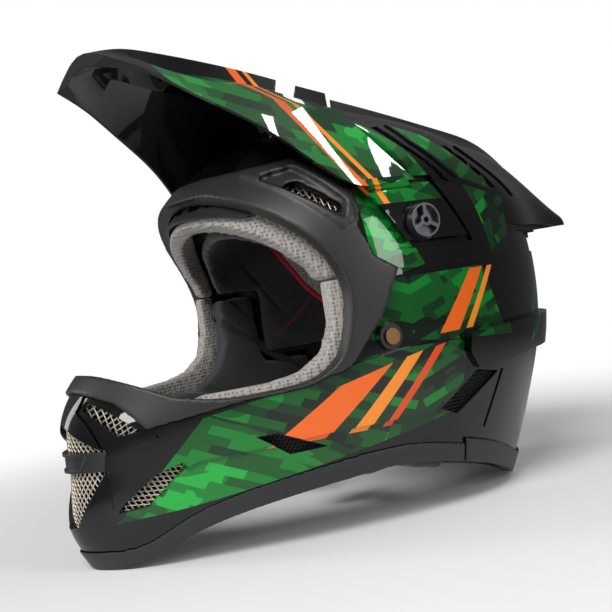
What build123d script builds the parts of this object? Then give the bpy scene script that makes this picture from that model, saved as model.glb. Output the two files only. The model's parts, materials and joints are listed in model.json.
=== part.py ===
from build123d import *
import os

# Full face downhill helmet, millimetres, +Z up, front towards -Y, +X the wearer's left.
# The origin is the middle of the bounding box at the level of the rim that it rests on.

# Overall sizes
helmet_length = 400
shell_width = 240
shell_height = 260
ear_line = 5

# Walls and layers, from the outside in
panel_step = 2.5
shell_wall = 3.5
seat_gap = 0.3
foam_thickness = 29
liner_thickness = 7.5
pad_layer_start = 8.2
cheek_foam_thickness = 10
cheek_pad_thickness = 21
chin_foam_thickness = 20
trim_stand = 1.8
hood_stand = 3.2
trim_lip = 8.5
trim_edge_wrap = 2.4
rim_trim_height = 12.5
rim_trim_wall = 1.6
rim_bead = 3
nape_trim_height = 16
mesh_thickness = 1.0
mesh_border = 3
duct_wall = 2.6
overrun = 300

# Visor and its fixings
visor_wall = 3
visor_seam_gap = 3.2
arm_thickness = 2.9
arm_clearance = 0.4
screw_radius = 3
pin_clearance = 0.05
head_radius = 10.3
head_height = 6.5
boss_radius = 12
insert_radius = 5
insert_length = 12
insert_reach = 9.6
hub_radius = 3.6
grip_width = 2.4
visor_travel = 6
top_screw_lean = 14.3
top_screw_head_radius = 7
top_screw_head_height = 3.5
top_boss_radius = 9
saddle_radius = 85
pocket_wall = 2.5
lip_reach = 8

# Strap and its hardware
strap_width = 20
strap_thickness = 1.6
rivet_radius = 5
rivet_flange = 1.6
rivet_room = 3.1
washer_radius = 8
washer_thickness = 1.4
strap_end_gap = 12
ring_wire_radius = 1.7
ring_width = 26
ring_drop = 9
ring_spacing = 6
stud_radius = 4.5
stud_height = 3.2
pad_draw = 4
pad_taper = 3
pad_crown_radius = 80
pad_crown_reach = 60
roll_inset = 14
duct_inset = 9
duct_slot_width = 11
duct_slot_height = 5
nape_roll_thickness = 10.5

# Insets of the nested layers, counted inwards from the outermost skin
shell_inner = panel_step + shell_wall
foam_outer = shell_inner + seat_gap
foam_inner = foam_outer + foam_thickness
liner_outer = foam_inner + seat_gap
liner_inner = liner_outer + liner_thickness
cheek_foam_inner = pad_layer_start + cheek_foam_thickness
cheek_pad_outer = cheek_foam_inner + seat_gap
cheek_pad_inner = cheek_pad_outer + cheek_pad_thickness
half_width = shell_width / 2

# Level sections of the outermost skin: height, half width, front end and rear end,
# then the pull of the curve at the nose, front side, tail and rear side.
section_shares = [
    (0.000, 0.767, -0.4625, 0.3175, 0.30, 0.55, 0.60, 0.60),
    (0.108, 0.842, -0.4925, 0.3525, 0.28, 0.55, 0.60, 0.60),
    (0.231, 0.900, -0.4875, 0.3875, 0.28, 0.56, 0.60, 0.60),
    (0.362, 0.950, -0.4775, 0.4175, 0.30, 0.56, 0.60, 0.60),
    (0.473, 0.975, -0.4200, 0.4325, 0.40, 0.56, 0.58, 0.58),
    (0.577, 0.992, -0.3475, 0.4325, 0.50, 0.56, 0.57, 0.57),
    (0.692, 0.975, -0.3025, 0.4175, 0.57, 0.57, 0.57, 0.57),
    (0.796, 0.892, -0.2575, 0.3750, 0.57, 0.57, 0.57, 0.57),
    (0.892, 0.700, -0.1975, 0.2925, 0.56, 0.56, 0.56, 0.56),
    (0.954, 0.475, -0.1275, 0.2025, 0.56, 0.56, 0.56, 0.56),
    (0.988, 0.225, -0.0550, 0.1025, 0.56, 0.56, 0.56, 0.56),
]
widest = 5

# Side outlines as (along, up) shares of the length and the shell's height
eyeport_rear_shares = [
    (-0.225, 0.838), (-0.200, 0.800), (-0.158, 0.731), (-0.120, 0.650), (-0.103, 0.565),
    (-0.108, 0.490), (-0.125, 0.420), (-0.160, 0.382), (-0.215, 0.369), (-0.290, 0.367),
    (-0.350, 0.386),
]
eyeport_front_shares = [(-0.425, 0.454), (-0.470, 0.475), (-0.600, 0.480), (-0.600, 0.838)]
trim_outline_shares = [
    (-0.600, 0.885), (-0.165, 0.885), (-0.105, 0.896), (-0.060, 0.792), (-0.060, 0.742),
    (-0.070, 0.708), (-0.055, 0.635), (-0.020, 0.600), (-0.055, 0.496), (-0.110, 0.396),
    (-0.125, 0.385), (-0.258, 0.358), (-0.390, 0.323), (-0.420, 0.388), (-0.463, 0.430),
    (-0.600, 0.440),
]
hood_shares = [
    (-0.180, 0.870), (-0.172, 0.885), (-0.110, 0.893), (-0.068, 0.785), (-0.075, 0.725),
    (-0.095, 0.710),
]
hood_recess_shares = [
    (-0.166, 0.850), (-0.160, 0.862), (-0.118, 0.872), (-0.077, 0.770), (-0.088, 0.728),
]
brow_vent_shares = [(-0.145, 0.827), (-0.122, 0.835), (-0.080, 0.758), (-0.088, 0.742)]
rim_shares = [
    (-0.4325, 0.000), (-0.3625, 0.050), (-0.2625, 0.104), (-0.1375, 0.131), (-0.0375, 0.138),
    (0.0875, 0.104), (0.2050, 0.046), (0.2600, 0.008), (0.2900, 0.000),
]
upper_panel_shares = [
    (-0.600, 0.600), (-0.020, 0.600), (0.038, 0.588), (0.120, 0.596), (0.188, 0.604),
    (0.243, 0.638), (0.330, 0.690), (0.600, 0.700), (0.600, 1.100), (-0.600, 1.100),
]
lower_panel_shares = [
    (-0.440, 0.270), (-0.385, 0.323), (-0.258, 0.358), (-0.110, 0.396), (-0.030, 0.411),
    (0.045, 0.415), (0.100, 0.372), (0.120, 0.323), (0.045, 0.250), (-0.148, 0.250),
    (-0.330, 0.235), (-0.440, 0.150),
]
nape_band_shares = [
    (0.120, 0.323), (0.178, 0.331), (0.270, 0.342), (0.600, 0.342), (0.600, 0.425),
    (0.265, 0.425), (0.178, 0.423), (0.105, 0.419), (0.100, 0.372),
]
arm_shares = [(-0.048, 0.800), (0.075, 0.792), (0.120, 0.654), (0.000, 0.658)]
arm_pocket_shares = [(-0.068, 0.814), (0.088, 0.810), (0.138, 0.640), (-0.015, 0.640)]
arm_shoulder_shares = [(-0.048, 0.812), (0.026, 0.812), (0.036, 0.785), (-0.040, 0.785)]
visor_pivot_share = (0.030, 0.700)
rivet_share = (-0.045, 0.446)
chin_top_vent_shares = [(-0.456, 0.388), (-0.442, 0.396), (-0.393, 0.319), (-0.420, 0.311)]
chin_side_vent_shares = [
    (-0.434, 0.138), (-0.420, 0.170), (-0.385, 0.218), (-0.350, 0.238), (-0.345, 0.225),
    (-0.395, 0.146),
]
diamond_vent_shares = [(-0.255, 0.270), (-0.225, 0.270), (-0.152, 0.220), (-0.207, 0.216)]
exhaust_shares = [(0.045, 0.250), (0.125, 0.325), (0.178, 0.308), (0.078, 0.228)]
exhaust_scoop_shares = [(0.025, 0.252), (0.120, 0.335), (0.190, 0.310), (0.140, 0.175)]
spoiler_vent_shares = [
    (0.250, 0.612), (0.330, 0.645), (0.600, 0.655), (0.600, 0.600), (0.340, 0.590),
]
crown_foam_shares = [
    (-0.330, 0.865), (-0.210, 0.865), (-0.175, 0.815), (-0.130, 0.755), (-0.095, 0.665),
    (-0.085, 0.615), (-0.012, 0.610), (-0.012, 0.400), (0.090, 0.400), (0.098, 0.060),
    (0.600, 0.060), (0.600, 1.200), (-0.330, 1.200),
]
chin_foam_shares = [
    (-0.325, 0.000), (-0.325, 0.350), (-0.350, 0.360), (-0.425, 0.425), (-0.600, 0.450),
    (-0.600, 0.000),
]
cheek_foam_shares = [
    (-0.290, 0.205), (-0.290, 0.310), (-0.150, 0.325), (-0.105, 0.360), (-0.080, 0.440),
    (-0.078, 0.575), (-0.022, 0.575), (-0.022, 0.388), (0.075, 0.385), (0.080, 0.210),
]
cheek_pad_shares = [
    (-0.315, 0.075), (-0.315, 0.345), (-0.165, 0.360), (-0.120, 0.400), (-0.100, 0.470),
    (-0.098, 0.590), (-0.018, 0.590), (-0.018, 0.392), (0.080, 0.388), (0.085, 0.078),
    (-0.020, 0.112), (-0.140, 0.106), (-0.250, 0.085),
]
cheek_roll_shares = [
    (-0.315, 0.325), (-0.315, 0.378), (-0.215, 0.385), (-0.170, 0.398), (-0.138, 0.432),
    (-0.122, 0.495), (-0.118, 0.590), (-0.082, 0.590), (-0.084, 0.450), (-0.108, 0.370),
    (-0.155, 0.330),
]
liner_shares = [
    (-0.330, 0.780), (-0.240, 0.780), (-0.165, 0.740), (-0.125, 0.670), (-0.100, 0.598),
    (-0.012, 0.598), (-0.012, 0.410), (0.600, 0.410), (0.600, 1.100), (-0.330, 1.100),
]
liner_roll_shares = [
    (-0.330, 0.770), (-0.245, 0.770), (-0.180, 0.705), (-0.135, 0.630), (-0.118, 0.598),
    (-0.088, 0.598), (-0.100, 0.660), (-0.138, 0.750), (-0.183, 0.812), (-0.215, 0.858),
    (-0.330, 0.858),
]
neck_roll_shares = [(0.160, 0.120), (0.600, 0.120), (0.600, 0.395), (0.160, 0.395)]
duct_shares = [
    (-0.330, 0.770), (-0.250, 0.770), (-0.165, 0.700), (-0.150, 0.760), (-0.215, 0.862),
    (-0.330, 0.862),
]
window_shares = [(-0.075, 0.180), (-0.075, 0.204), (-0.015, 0.204), (-0.015, 0.180)]
stud_places_shares = [(-0.200, 0.255), (-0.080, 0.270), (0.040, 0.300)]
mouth_shares = [(0.00, 0.355), (0.26, 0.280), (0.24, 0.230), (0.08, 0.110), (0.00, 0.104)]
bridge_shares = [(0.00, 0.282), (0.30, 0.282), (0.25, 0.236), (0.00, 0.236)]
mouth_front_share = -0.36
side_share = 0.5
hood_side_share = 0.33
chin_side_share = 0.2
chin_side_border_share = 0.165
chin_top_share = 0.125
chin_top_border_share = 0.11
pad_side_share = 0.25
spoiler_reach_shares = (0.10, 0.62)
spoiler_border_shares = (0.083, 0.65)
spoiler_pocket_shares = (0.077, 0.66)
shoulder_reach_share = 0.943
front_zone_shares = [(-0.600, -0.100), (0.090, -0.100), (0.090, 1.200), (-0.600, 1.200)]
rear_zone_shares = [(0.0915, -0.100), (0.600, -0.100), (0.600, 1.200), (0.0915, 1.200)]
strap_shares = [(-0.070, 0.190), (-0.070, 0.480), (-0.020, 0.480), (-0.020, 0.190)]
duct_slots_shares = [0.10, 0.26, 0.42]
duct_slot_height_share = 0.795
cheek_crown_share = (-0.050, 0.280)

# Crown fairing: sections along Y, each a row of (out, up) shares from the middle
# ridge down the side to the edge that hides in the shell.
fairing_stations_shares = [-0.010, 0.1625, 0.2875, 0.3875, 0.4885]
fairing_section_shares = [
    [(0.000, 1.090), (0.167, 1.094), (0.233, 1.056), (0.500, 1.000), (0.750, 0.915),
     (0.925, 0.800), (0.880, 0.740)],
    [(0.000, 1.015), (0.167, 1.020), (0.225, 0.992), (0.483, 0.952), (0.717, 0.873),
     (0.840, 0.792), (0.860, 0.700)],
    [(0.000, 0.957), (0.158, 0.962), (0.208, 0.935), (0.408, 0.886), (0.567, 0.823),
     (0.700, 0.758), (0.765, 0.665)],
    [(0.000, 0.890), (0.133, 0.897), (0.183, 0.869), (0.317, 0.825), (0.433, 0.769),
     (0.500, 0.715), (0.533, 0.662)],
    [(0.000, 0.735), (0.117, 0.742), (0.150, 0.720), (0.250, 0.704), (0.333, 0.685),
     (0.383, 0.662), (0.390, 0.645)],
]
# Plan line of the seam between visor and fairing, (out, along) shares
seam_shares = [(0.00, 0.080), (0.167, 0.050), (0.500, -0.005), (0.933, 0.045), (1.10, 0.060)]

# Visor: sections along Y, each a row of (out, up) shares from the middle to the edge,
# and how many walls thick the roof is there.
visor_stations_shares = [-0.360, -0.305, -0.2525, -0.1525, -0.0675, -0.0075, 0.0875]
visor_section_shares = [
    [(0.00, 1.215), (0.10, 1.211), (0.15, 1.207), (0.30, 1.188), (0.417, 1.169)],
    [(0.00, 1.223), (0.117, 1.219), (0.167, 1.200), (0.35, 1.165), (0.50, 1.123)],
    [(0.00, 1.212), (0.125, 1.208), (0.167, 1.169), (0.383, 1.131), (0.583, 1.062)],
    [(0.00, 1.177), (0.142, 1.173), (0.192, 1.131), (0.467, 1.073), (0.775, 0.935)],
    [(0.00, 1.142), (0.150, 1.138), (0.217, 1.096), (0.520, 1.027), (0.945, 0.804)],
    [(0.00, 1.115), (0.167, 1.108), (0.233, 1.062), (0.550, 1.008), (0.948, 0.798)],
    [(0.00, 1.073), (0.183, 1.065), (0.250, 1.015), (0.570, 0.969), (0.943, 0.796)],
]
visor_walls_shares = [2.6, 1.8, 1.0, 1.0, 1.0, 1.0, 1.0]


def side_points(shares):
    return [(along * helmet_length, up * shell_height) for along, up in shares]


def front_points(shares):
    return [(out * half_width, up * shell_height) for out, up in shares]


def skin(inset):
    """Left half of the helmet's outside as a closed body, drawn in by an inset."""
    level = section_shares[widest][0] * shell_height
    belt = [section_shares[widest][1] * half_width,
            ear_line - section_shares[widest][2] * helmet_length,
            section_shares[widest][3] * helmet_length - ear_line]
    with BuildPart() as form:
        for number, row in enumerate(section_shares):
            height = row[0] * shell_height
            wide = row[1] * half_width
            front = ear_line - row[2] * helmet_length
            rear = row[3] * helmet_length - ear_line
            nose, front_side, tail, rear_side = row[4:]
            if number <= widest:
                wide, front, rear = wide - inset, front - inset, rear - inset
            else:
                height = level + (height - level) * (1 - inset / (shell_height - level))
                wide = wide * (1 - inset / belt[0])
                front = front * (1 - inset / belt[1])
                rear = rear * (1 - inset / belt[2])
            with BuildSketch(Plane.XY.offset(height)):
                with BuildLine(Location((0, ear_line))):
                    Bezier((0, -front), (nose * wide, -front),
                           (wide, -front_side * front), (wide, 0))
                    Bezier((wide, 0), (wide, rear_side * rear), (tail * wide, rear), (0, rear))
                    Line((0, rear), (0, -front))
                make_face()
        loft()
    return form.part


def side_prism(shares, inside=-overrun, outside=overrun, grow=0):
    """Prism of a side outline between two distances off the middle."""
    with BuildPart() as prism:
        with BuildSketch(Plane.YZ.offset(inside)):
            with BuildLine():
                Polyline(*grown(side_points(shares), grow), close=True)
            make_face()
        extrude(amount=outside - inside)
    return prism.part


def grown(points, amount):
    """Corners of a closed outline, each moved outwards so that its sides move by an amount."""
    corners = [Vector(*point) for point in points]
    turn = sum(a.X * b.Y - b.X * a.Y for a, b in zip(corners, corners[1:] + corners[:1]))
    sense = amount if turn > 0 else -amount
    moved = []
    for number, corner in enumerate(corners):
        before = (corner - corners[number - 1]).normalized()
        after = (corners[(number + 1) % len(corners)] - corner).normalized()
        out = (before + after).normalized().rotate(Axis.Z, -90)
        moved.append(corner + out * (sense / (before + after).length * 2))
    return [(corner.X, corner.Y) for corner in moved]


def eyeport_prism(grow=0):
    """Prism of the eyeport's opening, right across the helmet."""
    points = grown(side_points(eyeport_rear_shares + eyeport_front_shares), grow)
    rear_points = points[:len(eyeport_rear_shares)]
    front_points_only = points[len(eyeport_rear_shares):]
    with BuildPart() as prism:
        with BuildSketch(Plane.YZ):
            with BuildLine():
                Spline(*rear_points)
                Polyline(rear_points[-1], *front_points_only, rear_points[0])
            make_face()
        extrude(amount=overrun, both=True)
    return prism.part


def below_rim(lift):
    """Everything under the rim line when that line is raised by a lift."""
    line = [(along, up + lift) for along, up in side_points(rim_shares)]
    first, last = line[0], line[-1]
    with BuildPart() as body:
        with BuildSketch(Plane.YZ):
            with BuildLine():
                Spline(*line, tangents=[(1, 0), (1, 0)])
                Polyline(last, (overrun, last[1]), (overrun, -overrun), (-overrun, -overrun),
                         (-overrun, first[1]), first)
            make_face()
        extrude(amount=overrun, both=True)
    return body.part


def front_prism(shares, start, grow=0):
    """Prism of a front outline, both halves, from a distance along Y out to the front."""
    points = front_points(shares)
    mirrored = [(-out, up) for out, up in reversed(points) if out > 0]
    with BuildPart() as prism:
        with BuildSketch(Plane.XZ.offset(-start)):
            with BuildLine():
                Polyline(*grown(points + mirrored, grow), close=True)
            make_face()
        extrude(amount=overrun)
    return prism.part


def fairing(inset, lift=0):
    """Left half of the raised crown and spoiler body, drawn in, with its floor lifted."""
    with BuildPart() as body:
        for station, row in zip(fairing_stations_shares, fairing_section_shares):
            place = station * helmet_length
            if station == fairing_stations_shares[-1]:
                place = place - inset
            points = [(max(out - inset, 0), up - inset) for out, up in front_points(row)]
            points[-1] = (points[-1][0], points[-1][1] + lift)
            with BuildSketch(Plane.XZ.offset(-place)):
                with BuildLine():
                    Polyline(*points, (0, points[-1][1]), close=True)
                make_face()
        loft(ruled=True)
    return body.part


def seam_prism(shift):
    """Everything behind the seam line of visor and fairing, moved back by a shift."""
    points = [(out * half_width, along * helmet_length + shift) for out, along in seam_shares]
    mirrored = [(-out, along) for out, along in reversed(points) if out > 0]
    far = points[-1][0]
    with BuildPart() as body:
        with BuildSketch(Plane.XY):
            with BuildLine():
                Polyline(*points, (far, overrun), (-far, overrun), *mirrored, close=True)
            make_face()
        extrude(amount=overrun * 2)
    return body.part


def layer(outer, inner):
    """What is left of a body outside another one."""
    with BuildPart() as space:
        add(outer)
        add(inner, mode=Mode.SUBTRACT, clean=False)
    return space.part


def inside_of(form, *limits):
    """What a body has in common with all the limits."""
    with BuildPart() as piece:
        add(form)
        for limit in limits:
            add(limit, mode=Mode.INTERSECT, clean=False)
    return piece.part


def cross_pin(along, up, radius, start, end):
    """Round bar across the helmet between two distances off the middle."""
    with BuildPart() as pin:
        with BuildSketch(Plane.YZ.offset(start)):
            with Locations((along, up)):
                Circle(radius)
        extrude(amount=end - start)
    return pin.part


def top_pin(radius, start, end):
    """Round bar along the leaning top screw, between two distances off the visor's pivot."""
    lean = Vector(0, 0, 1).rotate(Axis.X, top_screw_lean)
    axis_plane = Plane(origin=(0, pivot_y, pivot_z), x_dir=(1, 0, 0), z_dir=lean)
    with BuildPart() as pin:
        with BuildSketch(axis_plane.offset(start)):
            Circle(radius)
        extrude(amount=end - start)
    return pin.part


def tilt_fan(margin):
    """Half of the space that a bar round the top screw sweeps over as the visor tilts."""
    pivot = Vector(0, pivot_y, pivot_z)
    front = Vector(0, 0, 1).rotate(Axis.X, top_screw_lean)
    rear = Vector(0, 0, 1).rotate(Axis.X, top_screw_lean - visor_travel)
    ahead = pivot + front.rotate(Axis.X, 90) * margin
    behind = pivot + rear.rotate(Axis.X, -90) * margin
    corners = [ahead, ahead + front * overrun, behind + rear * overrun, behind]
    with BuildPart() as fan:
        with BuildSketch(Plane.YZ):
            with BuildLine():
                Polyline(*[(corner.Y, corner.Z) for corner in corners], close=True)
            make_face()
        extrude(amount=margin)
    return fan.part


def write(part, name):
    part.label = name
    export_step(part, "parts/" + name + ".step")
    print(name, len(part.solids()), part.is_valid)


def write_whole(half, name):
    """Writes one piece made of a left half and its mirror image."""
    with BuildPart() as whole:
        add(half)
        mirror(about=Plane.YZ)
    write(whole.part, name)


def write_pair(left, name):
    """Writes a left piece and its mirror image as two nodes."""
    with BuildPart() as right:
        add(mirror(left, about=Plane.YZ))
    write(left, name + "_left")
    write(right.part, name + "_right")


os.makedirs("parts", exist_ok=True)

# Distances off the middle where the side outlines start
side_start = side_share * half_width
hood_start = hood_side_share * half_width
chin_side_start = chin_side_share * half_width
chin_side_border_start = chin_side_border_share * half_width
chin_top_start = chin_top_share * half_width
chin_top_border_start = chin_top_border_share * half_width
pad_start = pad_side_share * half_width
spoiler_start, spoiler_end = [share * half_width for share in spoiler_reach_shares]
spoiler_border_start, spoiler_border_end = [share * half_width
                                            for share in spoiler_border_shares]
spoiler_pocket_start, spoiler_pocket_end = [share * half_width
                                            for share in spoiler_pocket_shares]
shoulder_end = shoulder_reach_share * half_width

# Nested bodies
outermost = skin(0)
base_skin = skin(panel_step)
inner_skin = skin(shell_inner)
foam_skin = skin(foam_outer)
mesh_skin = skin(foam_outer + seat_gap)
mesh_back_skin = skin(foam_outer + seat_gap + mesh_thickness)
pocket_skin = skin(foam_outer + 2 * seat_gap + mesh_thickness)
pad_skin = skin(pad_layer_start)
roll_skin = skin(trim_lip + seat_gap)

# Places of the fixings
pivot_y, pivot_z = side_points([visor_pivot_share])[0]
rivet_y, rivet_z = side_points([rivet_share])[0]
belt_half = section_shares[widest + 1][1] * half_width
boss_face = belt_half - seat_gap
arm_face = boss_face + seat_gap + arm_thickness
shell_face = belt_half - panel_step
strap_face = shell_face - shell_wall
washer_face = shell_face + seat_gap
rivet_inner_face = strap_face - strap_thickness - rivet_room
saddle = cross_pin(pivot_y, pivot_z, saddle_radius, 0, half_width)

# Vents
vents = {
    "brow": side_prism(brow_vent_shares, side_start),
    "chin_top": side_prism(chin_top_vent_shares, chin_top_start, side_start),
    "chin_side": side_prism(chin_side_vent_shares, chin_side_start),
    "diamond": side_prism(diamond_vent_shares, side_start),
    "exhaust": side_prism(exhaust_shares, side_start),
}


def mesh_outlines(grow):
    """Prisms of the vents' outlines, grown by an amount."""
    return {
        "brow": side_prism(brow_vent_shares, side_start, grow=grow),
        "chin_top": side_prism(chin_top_vent_shares, chin_top_border_start, side_start,
                               grow=grow),
        "chin_side": side_prism(chin_side_vent_shares, chin_side_border_start, grow=grow),
        "diamond": side_prism(diamond_vent_shares, side_start, grow=grow),
        "exhaust": side_prism(exhaust_shares, side_start, grow=grow),
    }


mesh_borders = mesh_outlines(mesh_border)
mesh_pockets = mesh_outlines(mesh_border + seat_gap)
mouth_start = mouth_front_share * helmet_length
mouth = front_prism(mouth_shares, mouth_start)
mouth_border = front_prism(mouth_shares, mouth_start, mesh_border)
mouth_pocket = front_prism(mouth_shares, mouth_start, mesh_border + seat_gap)
spoiler_gap = side_prism(spoiler_vent_shares, spoiler_start, spoiler_end)
spoiler_border = side_prism(spoiler_vent_shares, spoiler_border_start, spoiler_border_end,
                            grow=mesh_border)
spoiler_pocket = side_prism(spoiler_vent_shares, spoiler_pocket_start, spoiler_pocket_end,
                            grow=mesh_border + seat_gap)

# Outer shell: stepped panels, nape band and crown fairing over one inner face
trim_space = side_prism(trim_outline_shares, grow=seat_gap)
upper_panel = layer(inside_of(outermost, side_prism(upper_panel_shares)), trim_space)
lower_panel = layer(inside_of(outermost, side_prism(lower_panel_shares)), trim_space)
nape_band = inside_of(skin(-hood_stand), side_prism(nape_band_shares))
crown_fairing = inside_of(fairing(0), seam_prism(visor_seam_gap))
fairing_inner = inside_of(fairing(shell_wall), seam_prism(visor_seam_gap + shell_wall))
arm_pocket = layer(side_prism(arm_pocket_shares, side_start), base_skin)
scoop = layer(side_prism(exhaust_scoop_shares, side_start),
              skin(panel_step + seat_gap * 3))
with BuildPart() as outer_shell:
    add([base_skin, upper_panel, lower_panel, nape_band])
    add(scoop, mode=Mode.SUBTRACT)
    add(crown_fairing)
    add([arm_pocket,
         cross_pin(rivet_y, rivet_z, washer_radius + seat_gap, shell_face, half_width)],
        mode=Mode.SUBTRACT)
    add([cross_pin(pivot_y, pivot_z, boss_radius, side_start, boss_face),
         cross_pin(rivet_y, rivet_z, washer_radius + seat_gap, side_start, shell_face),
         inside_of(top_pin(top_boss_radius, saddle_radius / 2, overrun), saddle)])
    add([inner_skin, fairing_inner, eyeport_prism(trim_edge_wrap + seat_gap),
         below_rim(rim_bead), *vents.values(), mouth, layer(spoiler_gap, inner_skin),
         cross_pin(pivot_y, pivot_z, insert_radius + pin_clearance, side_start, half_width),
         cross_pin(rivet_y, rivet_z, rivet_radius / 2 + pin_clearance, side_start,
                   half_width),
         top_pin(insert_radius + pin_clearance, saddle_radius / 2, overrun)],
        mode=Mode.SUBTRACT)
write_whole(outer_shell.part, "outer_shell")

# Eyeport trim: flange let into the shell, wall round its edge, lip and vent hoods
trim_seat = skin(panel_step - seat_gap)
trim_face = skin(-trim_stand)
with BuildPart() as eyeport_trim:
    add([inside_of(layer(trim_face, trim_seat), side_prism(trim_outline_shares)),
         inside_of(layer(skin(-hood_stand), trim_seat), side_prism(hood_shares, hood_start)),
         inside_of(layer(trim_face, skin(trim_lip)), eyeport_prism(trim_edge_wrap))])
    add([layer(side_prism(hood_recess_shares, hood_start), skin(seat_gap)),
         eyeport_prism(), vents["brow"]], mode=Mode.SUBTRACT)
write_whole(eyeport_trim.part, "eyeport_trim")

# Rubber rim: outer leg, inner leg and a bead under the shell's edge, in two pieces
groove = layer(layer(skin(panel_step - seat_gap), skin(shell_inner + seat_gap)),
               below_rim(rim_bead - seat_gap))
rim_band = layer(inside_of(layer(skin(panel_step - rim_trim_wall),
                                 skin(shell_inner + rim_trim_wall)),
                           below_rim(rim_trim_height)), below_rim(0))
rim_trim = layer(inside_of(rim_band, side_prism(front_zone_shares)), groove)
write_whole(rim_trim, "rim_trim")
nape_band_rubber = layer(inside_of(layer(skin(0), skin(shell_inner + rim_trim_wall)),
                                   below_rim(nape_trim_height),
                                   side_prism(rear_zone_shares)), below_rim(0))
nape_trim = layer(nape_band_rubber, groove)
write_whole(nape_trim, "nape_trim")

# Impact foam of the skull, filled up under the crown fairing
lip_space = eyeport_prism(trim_edge_wrap + 2 * seat_gap)
foam_core = skin(foam_inner)
insert_seat = cross_pin(pivot_y, pivot_z, insert_radius + seat_gap,
                        boss_face - insert_length - seat_gap, half_width)
with BuildPart() as crown_foam:
    add([inside_of(foam_skin, side_prism(crown_foam_shares)),
         inside_of(fairing(shell_wall + seat_gap, 2 * seat_gap),
                   seam_prism(visor_seam_gap + shell_wall + seat_gap))])
    add([foam_core, lip_space, below_rim(nape_trim_height + seat_gap), insert_seat,
         top_pin(insert_radius + seat_gap, saddle_radius - insert_length - seat_gap, overrun),
         layer(mesh_pockets["brow"], pocket_skin), layer(mesh_pockets["exhaust"], pocket_skin),
         layer(spoiler_pocket, pocket_skin), vents["brow"]], mode=Mode.SUBTRACT)
write_whole(crown_foam.part, "crown_foam")

# Impact foam of the chin bar with its air passages
with BuildPart() as chin_foam:
    add(inside_of(layer(foam_skin, skin(foam_outer + chin_foam_thickness)),
                  side_prism(chin_foam_shares)))
    add([lip_space, below_rim(rim_trim_height + seat_gap),
         layer(mesh_pockets["chin_top"], pocket_skin), vents["chin_top"],
         layer(mesh_pockets["chin_side"], pocket_skin), vents["chin_side"],
         layer(mouth_pocket, pocket_skin),
         front_prism(mouth_shares, mouth_start, -mesh_border)], mode=Mode.SUBTRACT)
write_whole(chin_foam.part, "chin_foam")

# Cheek foam blocks with their snap studs, and the pads that press onto them
cheek_core = skin(cheek_foam_inner)
studs = [side_points([place])[0] for place in stud_places_shares]
stud_root = stud_height
stud_space = layer(skin(cheek_foam_inner - stud_root), skin(cheek_foam_inner + stud_height))
socket_space = layer(skin(cheek_foam_inner - stud_root - seat_gap),
                     skin(cheek_foam_inner + stud_height + 2 * seat_gap))
stud_pins = Compound([cross_pin(y, z, stud_radius, pad_start, half_width)
                      for y, z in studs])
socket_pins = Compound([cross_pin(y, z, stud_radius + seat_gap, pad_start, half_width)
                        for y, z in studs])
stud_set = inside_of(stud_space, stud_pins)
socket_set = inside_of(socket_space, socket_pins)
cheek_foam = inside_of(layer(pad_skin, cheek_core), side_prism(cheek_foam_shares))
rivet_pocket = cross_pin(rivet_y, rivet_z, rivet_radius + 2 * seat_gap,
                         rivet_inner_face - rivet_flange - seat_gap, half_width)
cheek_foam = layer(layer(cheek_foam, socket_set), rivet_pocket)
with BuildPart() as pad_sides:
    with BuildSketch(Plane.YZ.offset(pad_start)):
        with BuildLine():
            Polyline(*grown(side_points(cheek_pad_shares), -pad_draw), close=True)
        make_face()
    extrude(amount=half_width, taper=-pad_taper)
crown_y, crown_z = side_points([cheek_crown_share])[0]
with BuildPart() as pad_core:
    add(skin(cheek_pad_inner))
    with Locations((pad_crown_reach + pad_crown_radius, crown_y, crown_z)):
        Sphere(pad_crown_radius, mode=Mode.SUBTRACT)
with BuildPart() as cheek_pad:
    add(inside_of(skin(cheek_pad_outer), pad_sides.part))
    add(inside_of(roll_skin, side_prism(cheek_roll_shares, pad_start)))
    add([pad_core.part, socket_set, side_prism(window_shares, pad_start)],
        mode=Mode.SUBTRACT)
write_pair(cheek_foam, "cheek_foam")
write_pair(stud_set, "pad_studs")
write_pair(cheek_pad.part, "cheek_pad")

# Comfort liner with the padded roll along the eyeport's top, neck roll and brow duct
liner_core = skin(liner_inner)
with BuildPart() as comfort_liner:
    add(inside_of(skin(liner_outer), side_prism(liner_shares)))
    add(inside_of(skin(roll_inset), side_prism(liner_roll_shares)))
    add(liner_core, mode=Mode.SUBTRACT)
write_whole(comfort_liner.part, "comfort_liner")
neck_roll = inside_of(layer(skin(liner_outer), skin(liner_outer + nape_roll_thickness)),
                      side_prism(neck_roll_shares))
write_whole(neck_roll, "neck_roll")
with BuildPart() as duct_slots:
    slot_level = duct_slot_height_share * shell_height
    for share in duct_slots_shares:
        with Locations((share * half_width, mouth_start, slot_level)):
            Box(duct_slot_width, helmet_length, duct_slot_height)
brow_duct = layer(inside_of(layer(skin(duct_inset), skin(duct_inset + duct_wall)),
                            side_prism(duct_shares)), duct_slots.part)
write_whole(brow_duct, "brow_duct")

# Mesh behind each vent
mesh_layer = layer(mesh_skin, mesh_back_skin)
for name, border in mesh_borders.items():
    write_pair(inside_of(mesh_layer, border), name + "_mesh")
write_pair(inside_of(mesh_layer, spoiler_border), "spoiler_mesh")
write_whole(inside_of(mesh_layer, mouth_border), "mouth_mesh")
write_whole(inside_of(layer(skin(-seat_gap), skin(shell_inner)),
                      front_prism(bridge_shares, mouth_start),
                      front_prism(mouth_shares, mouth_start, -seat_gap)), "mouth_bridge")

# Visor: ridged roof with side wings, two side arms and a slotted centre pocket
arm_skin = skin(-arm_clearance)
floor_start = saddle_radius + seat_gap
floor_end = floor_start + visor_wall
pocket_half = top_screw_head_radius + 2 * seat_gap


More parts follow.
